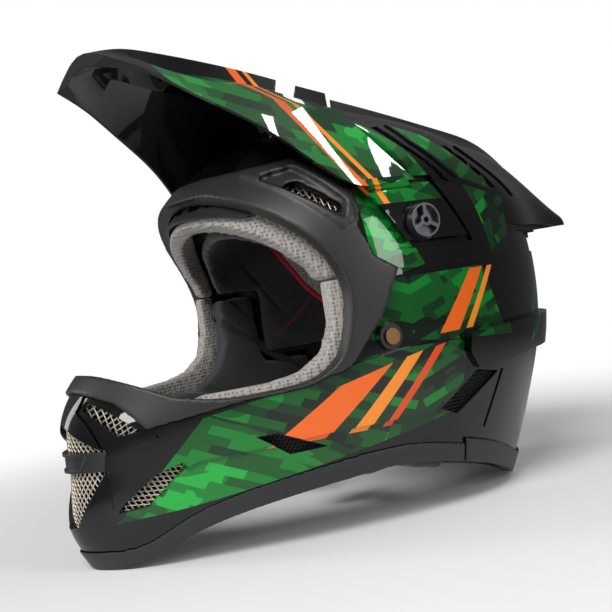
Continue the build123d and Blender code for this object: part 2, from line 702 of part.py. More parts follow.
def visor_body(thinning):
    """Left half of the visor's roof filled solid, or of the hollow under it."""
    with BuildPart() as body:
        for number, row in enumerate(visor_section_shares):
            station = visor_stations_shares[number] * helmet_length
            points = front_points(row)
            if thinning:
                wall = thinning * visor_walls_shares[number]
                middle, ridge, foot, fold, edge = points
                points = [(0, middle[1] - wall), (ridge[0] - thinning / 3, ridge[1] - wall),
                          (foot[0] - thinning / 3, foot[1] - wall),
                          (fold[0] - thinning / 2, fold[1] - wall),
                          (edge[0] - thinning, edge[1] - thinning / 4),
                          (edge[0] - thinning, edge[1] - lip_reach)]
                if number == 0:
                    station = station - thinning / 2
            with BuildSketch(Plane.XZ.offset(-station)):
                with BuildLine():
                    Polyline(*points, (0, points[-1][1]), close=True)
                make_face()
        loft(ruled=True)
    return body.part


visor_roof = visor_body(0)
pocket_block = layer(inside_of(tilt_fan(pocket_half + pocket_wall), visor_roof),
                     cross_pin(pivot_y, pivot_z, floor_start, 0, half_width))
pocket_hollow = layer(tilt_fan(pocket_half), cross_pin(pivot_y, pivot_z, floor_end, 0, half_width))
with BuildPart() as visor:
    add(visor_roof)
    add(visor_body(visor_wall), mode=Mode.SUBTRACT)
    add(pocket_block)
    add([pocket_hollow, tilt_fan(screw_radius + seat_gap), seam_prism(0)], mode=Mode.SUBTRACT)
    add([layer(inside_of(skin(-arm_clearance - arm_thickness),
                         side_prism(arm_shares, side_start)), arm_skin),
         layer(side_prism(arm_shoulder_shares, side_start, shoulder_end), arm_skin)])
    add([cross_pin(pivot_y, pivot_z, boss_radius + seat_gap, side_start,
                   boss_face + seat_gap),
         cross_pin(pivot_y, pivot_z, boss_radius, arm_face, overrun)], mode=Mode.SUBTRACT)
    add(cross_pin(pivot_y, pivot_z, boss_radius, boss_face + seat_gap, arm_face))
    add(cross_pin(pivot_y, pivot_z, screw_radius + pin_clearance, side_start, overrun),
        mode=Mode.SUBTRACT)
write_whole(visor.part, "visor")

# Side thumb screws with three grips round a hub, and their threaded inserts
with BuildPart() as visor_screw:
    with BuildSketch(Plane.YZ.offset(boss_face - insert_reach)):
        with Locations((pivot_y, pivot_z)):
            Circle(screw_radius)
    extrude(amount=insert_reach + seat_gap + arm_face - boss_face)
    with BuildSketch(Plane.YZ.offset(arm_face + seat_gap)):
        with Locations((pivot_y, pivot_z)):
            Circle(head_radius)
    extrude(amount=head_height / 3)
    with BuildSketch(Plane.YZ.offset(arm_face + seat_gap + head_height / 3)):
        with Locations((pivot_y, pivot_z)):
            Circle(head_radius)
            Circle(head_radius - grip_width / 2, mode=Mode.SUBTRACT)
            Circle(hub_radius)
            with PolarLocations(head_radius / 2, 3, start_angle=90):
                Rectangle(head_radius - grip_width / 2, grip_width)
    extrude(amount=head_height * 2 / 3)
    with BuildSketch(Plane.YZ.offset(arm_face + seat_gap + head_height)):
        with Locations((pivot_y, pivot_z)):
            Circle(hub_radius / 2)
    extrude(amount=-head_height / 2, mode=Mode.SUBTRACT)
write_pair(visor_screw.part, "visor_screw")
side_insert = layer(cross_pin(pivot_y, pivot_z, insert_radius, boss_face - insert_length,
                              boss_face),
                    cross_pin(pivot_y, pivot_z, screw_radius + pin_clearance,
                              boss_face - insert_length, boss_face))
write_pair(side_insert, "screw_insert")

with BuildPart() as visor_screw_top:
    add(top_pin(screw_radius, saddle_radius - insert_reach, floor_end + seat_gap))
    add(top_pin(top_screw_head_radius, floor_end + seat_gap,
                floor_end + seat_gap + top_screw_head_height))
    add(top_pin(screw_radius, floor_end + seat_gap + top_screw_head_height / 2, overrun),
        mode=Mode.SUBTRACT)
write(visor_screw_top.part, "visor_screw_top")
insert_body = inside_of(top_pin(insert_radius, saddle_radius - insert_length, overrun),
                        cross_pin(pivot_y, pivot_z, saddle_radius, -half_width, half_width))
screw_insert_top = layer(insert_body, top_pin(screw_radius + pin_clearance, 0, overrun))
write(screw_insert_top, "screw_insert_top")

# Chin strap: webbing from the rivet down the shell's inside, then inwards through the
# cheek pad's slot, with two D rings on the left end
strap_outer_skin = skin(foam_outer)
strap_front, strap_low = side_points(strap_shares)[0]
strap_rear = side_points(strap_shares)[-1][0]
strap_middle = (strap_front + strap_rear) / 2
strap_run = layer(inside_of(strap_outer_skin, side_prism(strap_shares, side_start)),
                  skin(foam_outer + strap_thickness))


def strap(end, ring_count):
    """Left hand strap that stops at a distance off the middle, with its ring loops."""
    with BuildPart() as webbing:
        with BuildSketch(Plane.XY.offset(strap_low)):
            with BuildLine():
                Polyline((end, strap_front), (half_width, strap_front),
                         (half_width, strap_rear), (end, strap_rear), close=True)
            make_face()
        extrude(amount=strap_thickness)
        add(strap_outer_skin, mode=Mode.INTERSECT)
        add(strap_run)
        for number in range(ring_count):
            across = end + ring_spacing * number
            with BuildSketch(Plane.XZ.offset(-strap_rear)):
                with Locations((across, strap_low - ring_wire_radius)):
                    Circle(ring_wire_radius + strap_thickness)
            extrude(amount=strap_width)
        for number in range(ring_count):
            across = end + ring_spacing * number
            with BuildSketch(Plane.XZ.offset(-strap_rear)):
                with Locations((across, strap_low - ring_wire_radius)):
                    Circle(ring_wire_radius + pin_clearance)
            extrude(amount=strap_width, mode=Mode.SUBTRACT)
        add(cross_pin(rivet_y, rivet_z, rivet_radius / 2 + pin_clearance, side_start,
                      half_width), mode=Mode.SUBTRACT)
    return webbing.part


write(strap(strap_end_gap, 2), "strap_left")
with BuildPart() as strap_right:
    add(mirror(strap(strap_end_gap * 2, 0), about=Plane.YZ))
write(strap_right.part, "strap_right")
for number, name in enumerate(("d_ring_inner", "d_ring_outer")):
    across = strap_end_gap + ring_spacing * number
    bar_level = strap_low - ring_wire_radius
    half_ring = ring_width / 2
    with BuildPart() as d_ring:
        with BuildLine(Plane.YZ.offset(across)) as ring_path:
            Line((strap_middle - half_ring, bar_level), (strap_middle + half_ring, bar_level))
            Line((strap_middle + half_ring, bar_level),
                 (strap_middle + half_ring, bar_level - ring_drop))
            ThreePointArc((strap_middle + half_ring, bar_level - ring_drop),
                          (strap_middle, bar_level - ring_drop - half_ring),
                          (strap_middle - half_ring, bar_level - ring_drop))
            Line((strap_middle - half_ring, bar_level - ring_drop),
                 (strap_middle - half_ring, bar_level))
        with BuildSketch(Plane(origin=(across, strap_middle, bar_level), z_dir=(0, 1, 0))):
            Circle(ring_wire_radius)
        sweep(path=ring_path.wires()[0], transition=Transition.RIGHT)
    write(d_ring.part, name)

# Rivets through washer, shell and strap
with BuildPart() as strap_rivet:
    add(cross_pin(rivet_y, rivet_z, rivet_radius, rivet_inner_face - rivet_flange,
                  rivet_inner_face))
    add(cross_pin(rivet_y, rivet_z, rivet_radius / 2, rivet_inner_face,
                  washer_face + washer_thickness + seat_gap))
    add(cross_pin(rivet_y, rivet_z, rivet_radius, washer_face + washer_thickness + seat_gap,
                  washer_face + washer_thickness + seat_gap + rivet_flange))
write_pair(strap_rivet.part, "strap_rivet")
strap_washer = layer(cross_pin(rivet_y, rivet_z, washer_radius, washer_face,
                               washer_face + washer_thickness),
                     cross_pin(rivet_y, rivet_z, rivet_radius / 2 + pin_clearance, washer_face,
                               washer_face + washer_thickness))
write_pair(strap_washer, "strap_washer")
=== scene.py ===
import bpy
import json
import math
import numpy as np
from mathutils import Matrix, Vector
from mathutils.bvhtree import BVHTree

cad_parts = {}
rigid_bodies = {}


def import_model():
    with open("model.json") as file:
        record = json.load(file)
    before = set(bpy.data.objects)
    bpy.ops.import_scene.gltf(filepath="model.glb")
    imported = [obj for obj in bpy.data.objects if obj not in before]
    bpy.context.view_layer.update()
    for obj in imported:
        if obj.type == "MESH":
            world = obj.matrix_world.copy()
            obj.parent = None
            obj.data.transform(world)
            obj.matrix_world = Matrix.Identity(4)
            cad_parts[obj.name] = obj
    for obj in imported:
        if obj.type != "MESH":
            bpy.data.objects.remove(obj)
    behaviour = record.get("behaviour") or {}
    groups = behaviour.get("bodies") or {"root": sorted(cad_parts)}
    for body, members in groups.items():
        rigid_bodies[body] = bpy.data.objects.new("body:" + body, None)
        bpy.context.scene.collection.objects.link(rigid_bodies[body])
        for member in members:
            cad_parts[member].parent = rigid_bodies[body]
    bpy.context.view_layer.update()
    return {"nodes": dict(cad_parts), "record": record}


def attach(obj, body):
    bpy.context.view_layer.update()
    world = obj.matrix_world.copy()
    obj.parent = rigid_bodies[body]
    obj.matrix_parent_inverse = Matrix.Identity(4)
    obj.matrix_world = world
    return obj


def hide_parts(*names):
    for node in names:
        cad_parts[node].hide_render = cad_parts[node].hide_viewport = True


for leftover in list(bpy.data.objects):
    bpy.data.objects.remove(leftover)
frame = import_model()

# Sizes of the form in millimetres, as in the part
length = 400
half_width = 120
height = 260
ear = 5
panel_step = 2.5
shell_inner = 6.0
seat_gap = 0.3
foam_outer = 6.3
trim_stand = 1.8
hood_stand = 3.2
trim_lip = 8.5
edge_wrap = 2.4
far = 300
sides = ((1, "left"), (-1, "right"))
pivot = (12.0, 182.0)
boss_radius = 12
boss_face = 116.7
arm_wall = 2.9
arm_face = boss_face + seat_gap + arm_wall
rivet = (-18.0, 115.96)
rivet_boss = 8.3
rivet_face = 114.5
rivet_bore = 2.55
insert_bore = 5.05
saddle_radius = 85.0
top_boss = 9
top_start = 42.5
screw_lean = math.radians(14.3)
tilt = math.radians(6)
seam_shift = 3.2
crown_wall = 3.5
flank = 60  # where what is cut through one side starts

# Level sections: height, half width, front end, rear end, pulls of the four curves
sections = np.array([
    (0.000, 0.767, -0.4625, 0.3175, 0.30, 0.55, 0.60, 0.60),
    (0.108, 0.842, -0.4925, 0.3525, 0.28, 0.55, 0.60, 0.60),
    (0.231, 0.900, -0.4875, 0.3875, 0.28, 0.56, 0.60, 0.60),
    (0.362, 0.950, -0.4775, 0.4175, 0.30, 0.56, 0.60, 0.60),
    (0.473, 0.975, -0.4200, 0.4325, 0.40, 0.56, 0.58, 0.58),
    (0.577, 0.992, -0.3475, 0.4325, 0.50, 0.56, 0.57, 0.57),
    (0.692, 0.975, -0.3025, 0.4175, 0.57, 0.57, 0.57, 0.57),
    (0.796, 0.892, -0.2575, 0.3750, 0.57, 0.57, 0.57, 0.57),
    (0.892, 0.700, -0.1975, 0.2925, 0.56, 0.56, 0.56, 0.56),
    (0.954, 0.475, -0.1275, 0.2025, 0.56, 0.56, 0.56, 0.56),
    (0.988, 0.225, -0.0550, 0.1025, 0.56, 0.56, 0.56, 0.56)])
widest = 5

# Side outlines as (along, up) shares
outlines = {
    "eyeport_rear": [(-0.225, 0.838), (-0.2, 0.8), (-0.158, 0.731), (-0.12, 0.65),
        (-0.103, 0.565), (-0.108, 0.49), (-0.125, 0.42), (-0.16, 0.382), (-0.215, 0.369),
        (-0.29, 0.367), (-0.35, 0.386)],
    "eyeport_front": [(-0.425, 0.454), (-0.47, 0.475), (-0.6, 0.48), (-0.6, 0.838)],
    "trim": [(-0.6, 0.885), (-0.165, 0.885), (-0.105, 0.896), (-0.06, 0.792), (-0.06, 0.742),
        (-0.07, 0.708), (-0.055, 0.635), (-0.02, 0.6), (-0.055, 0.496), (-0.11, 0.396),
        (-0.125, 0.385), (-0.258, 0.358), (-0.39, 0.323), (-0.42, 0.388), (-0.463, 0.43),
        (-0.6, 0.44)],
    "hood": [(-0.18, 0.87), (-0.172, 0.885), (-0.11, 0.893), (-0.068, 0.785), (-0.075, 0.725),
        (-0.095, 0.71)],
    "hood_recess": [(-0.166, 0.85), (-0.16, 0.862), (-0.118, 0.872), (-0.077, 0.77),
        (-0.088, 0.728)],
    "brow": [(-0.145, 0.827), (-0.122, 0.835), (-0.08, 0.758), (-0.088, 0.742)],
    "rim": [(-0.4325, 0), (-0.3625, 0.05), (-0.2625, 0.104), (-0.1375, 0.131),
        (-0.0375, 0.138), (0.0875, 0.104), (0.205, 0.046), (0.26, 0.008), (0.29, 0)],
    "upper_panel": [(-0.6, 0.6), (-0.02, 0.6), (0.038, 0.588), (0.12, 0.596), (0.188, 0.604),
        (0.243, 0.638), (0.33, 0.69), (0.6, 0.7), (0.6, 1.1), (-0.6, 1.1)],
    "lower_panel": [(-0.44, 0.27), (-0.385, 0.323), (-0.258, 0.358), (-0.11, 0.396),
        (-0.03, 0.411), (0.045, 0.415), (0.1, 0.372), (0.12, 0.323), (0.045, 0.25),
        (-0.148, 0.25), (-0.33, 0.235), (-0.44, 0.15)],
    "nape_band": [(0.12, 0.323), (0.178, 0.331), (0.27, 0.342), (0.6, 0.342), (0.6, 0.425),
        (0.265, 0.425), (0.178, 0.423), (0.105, 0.419), (0.1, 0.372)],
    "arm": [(-0.048, 0.8), (0.075, 0.792), (0.12, 0.654), (0, 0.658)],
    "arm_pocket": [(-0.068, 0.814), (0.088, 0.81), (0.138, 0.64), (-0.015, 0.64)],
    "arm_shoulder": [(-0.048, 0.812), (0.026, 0.812), (0.036, 0.785), (-0.04, 0.785)],
    "chin_top": [(-0.456, 0.388), (-0.442, 0.396), (-0.393, 0.319), (-0.42, 0.311)],
    "chin_side": [(-0.434, 0.138), (-0.42, 0.17), (-0.385, 0.218), (-0.35, 0.238),
        (-0.345, 0.225), (-0.395, 0.146)],
    "diamond": [(-0.255, 0.27), (-0.225, 0.27), (-0.152, 0.22), (-0.207, 0.216)],
    "exhaust": [(0.045, 0.25), (0.125, 0.325), (0.178, 0.308), (0.078, 0.228)],
    "scoop": [(0.025, 0.252), (0.12, 0.335), (0.19, 0.31), (0.14, 0.175)],
    "spoiler": [(0.25, 0.612), (0.33, 0.645), (0.6, 0.655), (0.6, 0.6), (0.34, 0.59)],
    "front_zone": [(-0.6, -0.1), (0.09, -0.1), (0.09, 1.2), (-0.6, 1.2)],
    "rear_zone": [(0.0915, -0.1), (0.6, -0.1), (0.6, 1.2), (0.0915, 1.2)],
    "crown_foam": [(-0.33, 0.865), (-0.21, 0.865), (-0.175, 0.815), (-0.13, 0.755),
        (-0.095, 0.665), (-0.085, 0.615), (-0.012, 0.61), (-0.012, 0.4), (0.09, 0.4),
        (0.098, 0.06), (0.6, 0.06), (0.6, 1.2), (-0.33, 1.2)],
    "chin_foam": [(-0.325, 0), (-0.325, 0.35), (-0.35, 0.36), (-0.425, 0.425), (-0.6, 0.45),
        (-0.6, 0)],
    "cheek_foam": [(-0.29, 0.205), (-0.29, 0.31), (-0.15, 0.325), (-0.105, 0.36),
        (-0.08, 0.44), (-0.078, 0.575), (-0.022, 0.575), (-0.022, 0.388), (0.075, 0.385),
        (0.08, 0.21)],
    "pad": [(-0.315, 0.075), (-0.315, 0.345), (-0.165, 0.36), (-0.12, 0.4), (-0.1, 0.47),
        (-0.098, 0.59), (-0.018, 0.59), (-0.018, 0.392), (0.08, 0.388), (0.085, 0.078),
        (-0.02, 0.112), (-0.14, 0.106), (-0.25, 0.085)],
    "pad_roll": [(-0.315, 0.325), (-0.315, 0.378), (-0.215, 0.385), (-0.17, 0.398),
        (-0.134, 0.436), (-0.119, 0.498), (-0.118, 0.596), (-0.086, 0.596), (-0.084, 0.45),
        (-0.108, 0.37), (-0.155, 0.33)],
    "liner": [(-0.33, 0.78), (-0.24, 0.78), (-0.165, 0.74), (-0.125, 0.67), (-0.1, 0.598),
        (-0.012, 0.598), (-0.012, 0.41), (0.6, 0.41), (0.6, 1.1), (-0.33, 1.1)],
    "liner_roll": [(-0.33, 0.798), (-0.255, 0.798), (-0.208, 0.756), (-0.168, 0.697),
        (-0.133, 0.632), (-0.119, 0.592), (-0.088, 0.592), (-0.1, 0.66), (-0.138, 0.75),
        (-0.183, 0.812), (-0.215, 0.858), (-0.33, 0.858)],
    "neck": [(0.16, 0.12), (0.6, 0.12), (0.6, 0.395), (0.16, 0.395)],
    "window": [(-0.075, 0.18), (-0.075, 0.204), (-0.015, 0.204), (-0.015, 0.18)],
}
front_outlines = {
    "mouth": [(0, 0.355), (0.26, 0.28), (0.24, 0.23), (0.08, 0.11), (0, 0.104)],
    "bridge": [(0, 0.282), (0.3, 0.282), (0.25, 0.236), (0, 0.236)],
}
mouth_front = -0.36 * length

fairing_stations = [-0.010, 0.1625, 0.2875, 0.3875, 0.4885]
fairing_rows = [
    [(0, 1.09), (0.167, 1.094), (0.233, 1.056), (0.5, 1.0), (0.75, 0.915), (0.925, 0.8),
     (0.88, 0.74)],
    [(0, 1.015), (0.167, 1.02), (0.225, 0.992), (0.483, 0.952), (0.717, 0.873), (0.84, 0.792),
     (0.86, 0.7)],
    [(0, 0.957), (0.158, 0.962), (0.208, 0.935), (0.408, 0.886), (0.567, 0.823), (0.7, 0.758),
     (0.765, 0.665)],
    [(0, 0.89), (0.133, 0.897), (0.183, 0.869), (0.317, 0.825), (0.433, 0.769), (0.5, 0.715),
     (0.533, 0.662)],
    [(0, 0.735), (0.117, 0.742), (0.15, 0.72), (0.25, 0.704), (0.333, 0.685), (0.383, 0.662),
     (0.39, 0.645)],
]
seam = [(0.00, 0.080), (0.167, 0.050), (0.500, -0.005), (0.933, 0.045), (1.10, 0.060)]
visor_stations = [-0.360, -0.305, -0.2525, -0.1525, -0.0675, -0.0075, 0.0875]
visor_rows = [
    [(0, 1.215), (0.1, 1.211), (0.15, 1.207), (0.3, 1.188), (0.417, 1.169)],
    [(0, 1.223), (0.117, 1.219), (0.167, 1.2), (0.35, 1.165), (0.5, 1.123)],
    [(0, 1.212), (0.125, 1.208), (0.167, 1.169), (0.383, 1.131), (0.583, 1.062)],
    [(0, 1.177), (0.142, 1.173), (0.192, 1.131), (0.467, 1.073), (0.775, 0.935)],
    [(0, 1.142), (0.15, 1.138), (0.217, 1.096), (0.52, 1.027), (0.945, 0.804)],
    [(0, 1.115), (0.167, 1.108), (0.233, 1.062), (0.55, 1.008), (0.948, 0.798)],
    [(0, 1.073), (0.183, 1.065), (0.25, 1.015), (0.57, 0.969), (0.943, 0.796)],
]
visor_walls = [2.6, 1.8, 1.0, 1.0, 1.0, 1.0, 1.0]


# Curves
def spline(knots, values, at, tangents=None):
    """Natural or clamped cubic through rows of values."""
    knots = np.asarray(knots, float)
    values = np.asarray(values, float)
    n = len(knots)
    h = np.diff(knots)
    slope = np.diff(values, axis=0) / h.reshape(-1, *[1] * (values.ndim - 1))
    matrix = np.zeros((n, n))
    right = np.zeros(values.shape)
    for i in range(1, n - 1):
        matrix[i, i - 1:i + 2] = h[i - 1], 2 * (h[i - 1] + h[i]), h[i]
        right[i] = 6 * (slope[i] - slope[i - 1])
    matrix[0, 0] = matrix[-1, -1] = 1
    if tangents is not None:
        matrix[0, :2] = 2 * h[0], h[0]
        matrix[-1, -2:] = h[-1], 2 * h[-1]
        right[0] = 6 * (slope[0] - np.asarray(tangents[0], float))
        right[-1] = 6 * (np.asarray(tangents[1], float) - slope[-1])
    bend = np.linalg.solve(matrix, right.reshape(n, -1)).reshape(values.shape)
    at = np.asarray(at, float)
    i = np.clip(np.searchsorted(knots, at, side="right") - 1, 0, n - 2)
    shape = (-1, *[1] * (values.ndim - 1))
    a = ((knots[i + 1] - at) / h[i]).reshape(shape)
    b = 1 - a
    step = h[i].reshape(shape)
    return (a * values[i] + b * values[i + 1]
            + ((a ** 3 - a) * bend[i] + (b ** 3 - b) * bend[i + 1]) * step ** 2 / 6)


def path_spline(points, count, tangents=None):
    """Evenly spaced places on a smooth line through points."""
    points = np.asarray(points, float)
    steps = np.linalg.norm(np.diff(points, axis=0), axis=1)
    knots = np.concatenate([[0], np.cumsum(steps)])
    return spline(knots, points, np.linspace(0, knots[-1], count), tangents)


def side(name, grow=0.0):
    """Side outline in millimetres, with its sides moved outwards if asked."""
    points = [(along * length, up * height) for along, up in outlines[name]]
    return grown(points, grow) if grow else points


def grown(points, amount):
    """Outline with its sides moved outwards."""
    corners = np.asarray(points, float)
    after = np.roll(corners, -1, axis=0)
    before = np.roll(corners, 1, axis=0)
    turn = np.sum(corners[:, 0] * after[:, 1] - after[:, 0] * corners[:, 1])
    a = corners - before
    b = after - corners
    a /= np.linalg.norm(a, axis=1)[:, None]
    b /= np.linalg.norm(b, axis=1)[:, None]
    total = a + b
    size = np.linalg.norm(total, axis=1)[:, None]
    out = np.stack([total[:, 1], -total[:, 0]], axis=1) / size
    return corners + out * ((amount if turn > 0 else -amount) / size * 2)


# Meshes
def rows_of(mesh, kind="co"):
    """Positions or normals of a mesh's vertices."""
    flat = np.empty(len(mesh.vertices) * 3)
    mesh.vertices.foreach_get(kind, flat)
    return flat.reshape(-1, 3)


def surface(mesh):
    """Search tree of a mesh's faces."""
    return BVHTree.FromPolygons([v.co for v in mesh.vertices],
                                [tuple(p.vertices) for p in mesh.polygons])


def finished(body):
    """Mesh of a body with its modifiers applied."""
    scene = bpy.context.scene.collection
    scene.objects.link(body)
    graph = bpy.context.evaluated_depsgraph_get()
    mesh = bpy.data.meshes.new_from_object(body.evaluated_get(graph))
    scene.objects.unlink(body)
    return mesh


def make(name, verts, faces):
    """Object in metres from points in millimetres."""
    mesh = bpy.data.meshes.new(name)
    mesh.from_pydata((np.asarray(verts, float) * 0.001).tolist(), [], faces)
    mesh.update()
    return bpy.data.objects.new(name, mesh)


def tube_solid(name, rings):
    """Closed body through rings of equally many points, with flat ends."""
    rings = [np.asarray(ring, float) for ring in rings]
    n = len(rings[0])
    verts = np.concatenate(rings)
    faces = []
    for k in range(len(rings) - 1):
        low = k * n
        for j in range(n):
            i = (j + 1) % n
            faces.append((low + j, low + i, low + n + i, low + n + j))
    faces.append(tuple(range(n))[::-1])
    faces.append(tuple(range(len(rings) * n - n, len(rings) * n)))
    body = make(name, verts, faces)
    outwards(body)
    return body


def outwards(body):
    """Turns a closed body's faces outwards."""
    mesh = body.data
    mesh.calc_loop_triangles()
    co = rows_of(mesh)
    tri = np.empty(len(mesh.loop_triangles) * 3, int)
    mesh.loop_triangles.foreach_get("vertices", tri)
    a, b, c = (co[tri.reshape(-1, 3)[:, k]] for k in range(3))
    if np.sum(np.einsum("ij,ij->i", a, np.cross(b, c))) < 0:
        mesh.flip_normals()


def prism(points, start=-far, end=far, both=False, axis="x"):
    """Side outline run across the helmet, or front outline run along it."""
    points = np.asarray(points, float)

    def ring(depth):
        full = np.full(len(points), float(depth))
        if axis == "x":
            return np.stack([full, points[:, 0], points[:, 1]], axis=1)
        return np.stack([points[:, 0], full, points[:, 1]], axis=1)

    body = tube_solid("prism", [ring(start), ring(end)])
    if both:
        other = tube_solid("prism", [ring(-end), ring(-start)])
        join(body, other)
    return body


def join(body, other):
    """Adds another body's faces to a body."""
    mesh = body.data
    verts = [v.co * 1000 for v in mesh.vertices] + [v.co * 1000 for v in other.data.vertices]
    count = len(mesh.vertices)
    faces = [tuple(p.vertices) for p in mesh.polygons]
    faces += [tuple(i + count for i in p.vertices) for p in other.data.polygons]
    joined = make("joined", verts, faces)
    body.data = joined.data
    return body


def combine(base, *steps):
    """Body after joins, cuts and limits in turn: each a word with its bodies."""
    words = {"add": "UNION", "cut": "DIFFERENCE", "keep": "INTERSECT"}
    work = base.copy()
    work.data = base.data.copy()
    scene = bpy.context.scene.collection
    linked = []
    for word, *others in steps:
        for other in others:
            if other.name not in scene.objects:
                scene.objects.link(other)
                linked.append(other)
            modifier = work.modifiers.new("step", "BOOLEAN")
            modifier.operation = words[word]
            modifier.solver = "MANIFOLD"
            modifier.object = other
    mesh = finished(work)
    for other in linked:
        scene.objects.unlink(other)
    bpy.data.objects.remove(work)
    return bpy.data.objects.new("body", mesh)


skins = {}
trees = {}


def skin_rings(inset, levels=84, around=44):
    """Rings of the helmet's outside, drawn in by an inset."""
    rows = sections.copy()
    rows[:, 0] *= height
    rows[:, 1] *= half_width
    rows[:, 2] = ear - rows[:, 2] * length
    rows[:, 3] = rows[:, 3] * length - ear
    level = rows[widest, 0]
    belt = rows[widest, 1:4].copy()
    rows[:widest + 1, 1:4] -= inset
    upper = rows[widest + 1:]
    upper[:, 0] = level + (upper[:, 0] - level) * (1 - inset / (height - level))
    upper[:, 1:4] *= 1 - inset / belt
    steps = np.linalg.norm(np.diff(rows[:, :4] * (1, 1, 0.5, 0.5), axis=0), axis=1)
    knots = np.concatenate([[0], np.cumsum(steps)])
    table = spline(knots, rows, np.linspace(0, knots[-1], levels))
    t = np.linspace(0, 1, around + 1)[:-1, None]

    def curve(a, b, c, d):
        return ((1 - t) ** 3 * a + 3 * t * (1 - t) ** 2 * b + 3 * t * t * (1 - t) * c
                + t ** 3 * d)

    rings = []
    for z, w, f, r, nose, fside, tail, rside in table:
        quarters = [
            curve(*[np.array(p) for p in ((0, -f), (nose * w, -f), (w, -fside * f), (w, 0))]),
            curve(*[np.array(p) for p in ((w, 0), (w, rside * r), (tail * w, r), (0, r))]),
            curve(*[np.array(p) for p in ((0, r), (-tail * w, r), (-w, rside * r), (-w, 0))]),
            curve(*[np.array(p) for p in ((-w, 0), (-w, -fside * f), (-nose * w, -f),
                                          (0, -f))])]
        flat = np.concatenate(quarters)
        rings.append(np.column_stack([flat[:, 0], flat[:, 1] + ear, np.full(len(flat), z)]))
    return rings


def skin(inset):
    """The helmet's outside as a closed body, drawn in by an inset."""
    key = round(inset, 3)
    if key not in skins:
        skins[key] = tube_solid("skin", skin_rings(inset))
    return skins[key]


def tree_of(inset):
    """Search tree of a skin."""
    key = round(inset, 3)
    if key not in trees:
        trees[key] = surface(skin(inset).data)
    return trees[key]


def met(tree, start, direction):
    """Point in millimetres where a ray from a place in millimetres meets a surface."""
    hit = tree.ray_cast(Vector([c * 0.001 for c in start]), Vector(direction))[0]
    return None if hit is None else np.array(hit) * 1000


def on_side(inset, y, z, sign=1):
    """Point of a skin straight out from the middle at a place along and up."""
    return met(tree_of(inset), (sign * 400, y, z), (-sign, 0, 0))


def eyeport(grow=0.0):
    """Space of the face opening."""
    points = grown(side("eyeport_rear") + side("eyeport_front"), grow)
    count = len(outlines["eyeport_rear"])
    rear = path_spline(points[:count], 60)
    return prism(np.concatenate([rear, points[count:]]))


def below_rim(lift):
    """Space under the rim's line, lifted."""
    line = np.array(side("rim")) + (0, lift)
    curve = path_spline(line, 90, [(1, 0), (1, 0)])
    ends = [(far, line[-1][1]), (far, -far), (-far, -far), (-far, line[0][1])]
    return prism(np.concatenate([curve, ends]))


def front(name, grow):
    """Front outline of both halves in millimetres, with its sides moved outwards."""
    points = [(out * half_width, up * height) for out, up in front_outlines[name]]
    return grown(points + [(-out, up) for out, up in reversed(points) if out > 0], grow)


def front_prism(name, grow=0.0):
    """Front outline run back into the chin bar."""
    return prism(front(name, grow), -far * 1.5, mouth_front, axis="y")


def cross_pin(along, up, radius, start, end, both=True, count=72):
    """Round bar across the helmet, on both sides or once."""
    turn = np.linspace(0, 2 * math.pi, count, endpoint=False)
    ring = np.stack([along + radius * np.cos(turn), up + radius * np.sin(turn)], axis=1)
    return prism(ring, start, end, both)


def top_pin(radius, start, end, count=48):
    """Round bar along the middle screw."""
    lean = np.array([0, -math.sin(screw_lean), math.cos(screw_lean)])
    cross = np.array([0, math.cos(screw_lean), math.sin(screw_lean)])
    turn = np.linspace(0, 2 * math.pi, count, endpoint=False)[:, None]
    ring = radius * (np.cos(turn) * np.array([1.0, 0, 0]) + np.sin(turn) * cross)
    origin = np.array([0, *pivot])
    return tube_solid("pin", [ring + origin + lean * start, ring + origin + lean * end])


def seam_body(shift):
    """Space behind the visor's rear edge, shifted back."""
    points = [(out * half_width, along * length + shift) for out, along in seam]
    mirrored = [(-out, along) for out, along in reversed(points) if out > 0]
    reach = points[-1][0]
    flat = np.array(points + [(reach, far), (-reach, far)] + mirrored)
    return tube_solid("seam", [np.column_stack([flat, np.full(len(flat), z)])
                               for z in (0.0, 2.0 * far)])


def across_ring(half, y):
    """Ring of a left half and its mirror image at a place along the helmet."""
    flat = np.concatenate([half, half[:0:-1] * (-1, 1)])
    return np.column_stack([flat[:, 0], np.full(len(flat), y), flat[:, 1]])


def fairing(inset, least=0.4):
    """Raised crown and spoiler, smooth along its length, never narrower than a least width."""
    rows = np.array(fairing_rows) * (half_width, height)
    stations = np.array(fairing_stations) * length
    stations[-1] -= inset
    places = np.linspace(stations[0], stations[-1], 60)
    rings = []
    for y, row in zip(places, spline(stations, rows, places)):
        foot = path_spline(row[2:], 22)
        half = np.concatenate([row[:2], foot])
        half = np.column_stack([np.maximum(half[:, 0] - inset, least * (half[:, 0] > 0)),
                                half[:, 1] - inset])
        half[0, 0] = 0
        rings.append(across_ring(half, y))
    return tube_solid("fairing", rings)


def tilt_fan(margin):
    """Space that a bar round the top screw sweeps over as the visor tilts."""
    front = np.array([-math.sin(screw_lean), math.cos(screw_lean)])
    back_lean = screw_lean - tilt
    rear = np.array([-math.sin(back_lean), math.cos(back_lean)])
    centre = np.array(pivot)
    ahead = centre + margin * np.array([-front[1], front[0]])
    behind = centre + margin * np.array([rear[1], -rear[0]])
    return prism([ahead, ahead + front * far, behind + rear * far, behind], -margin, margin)


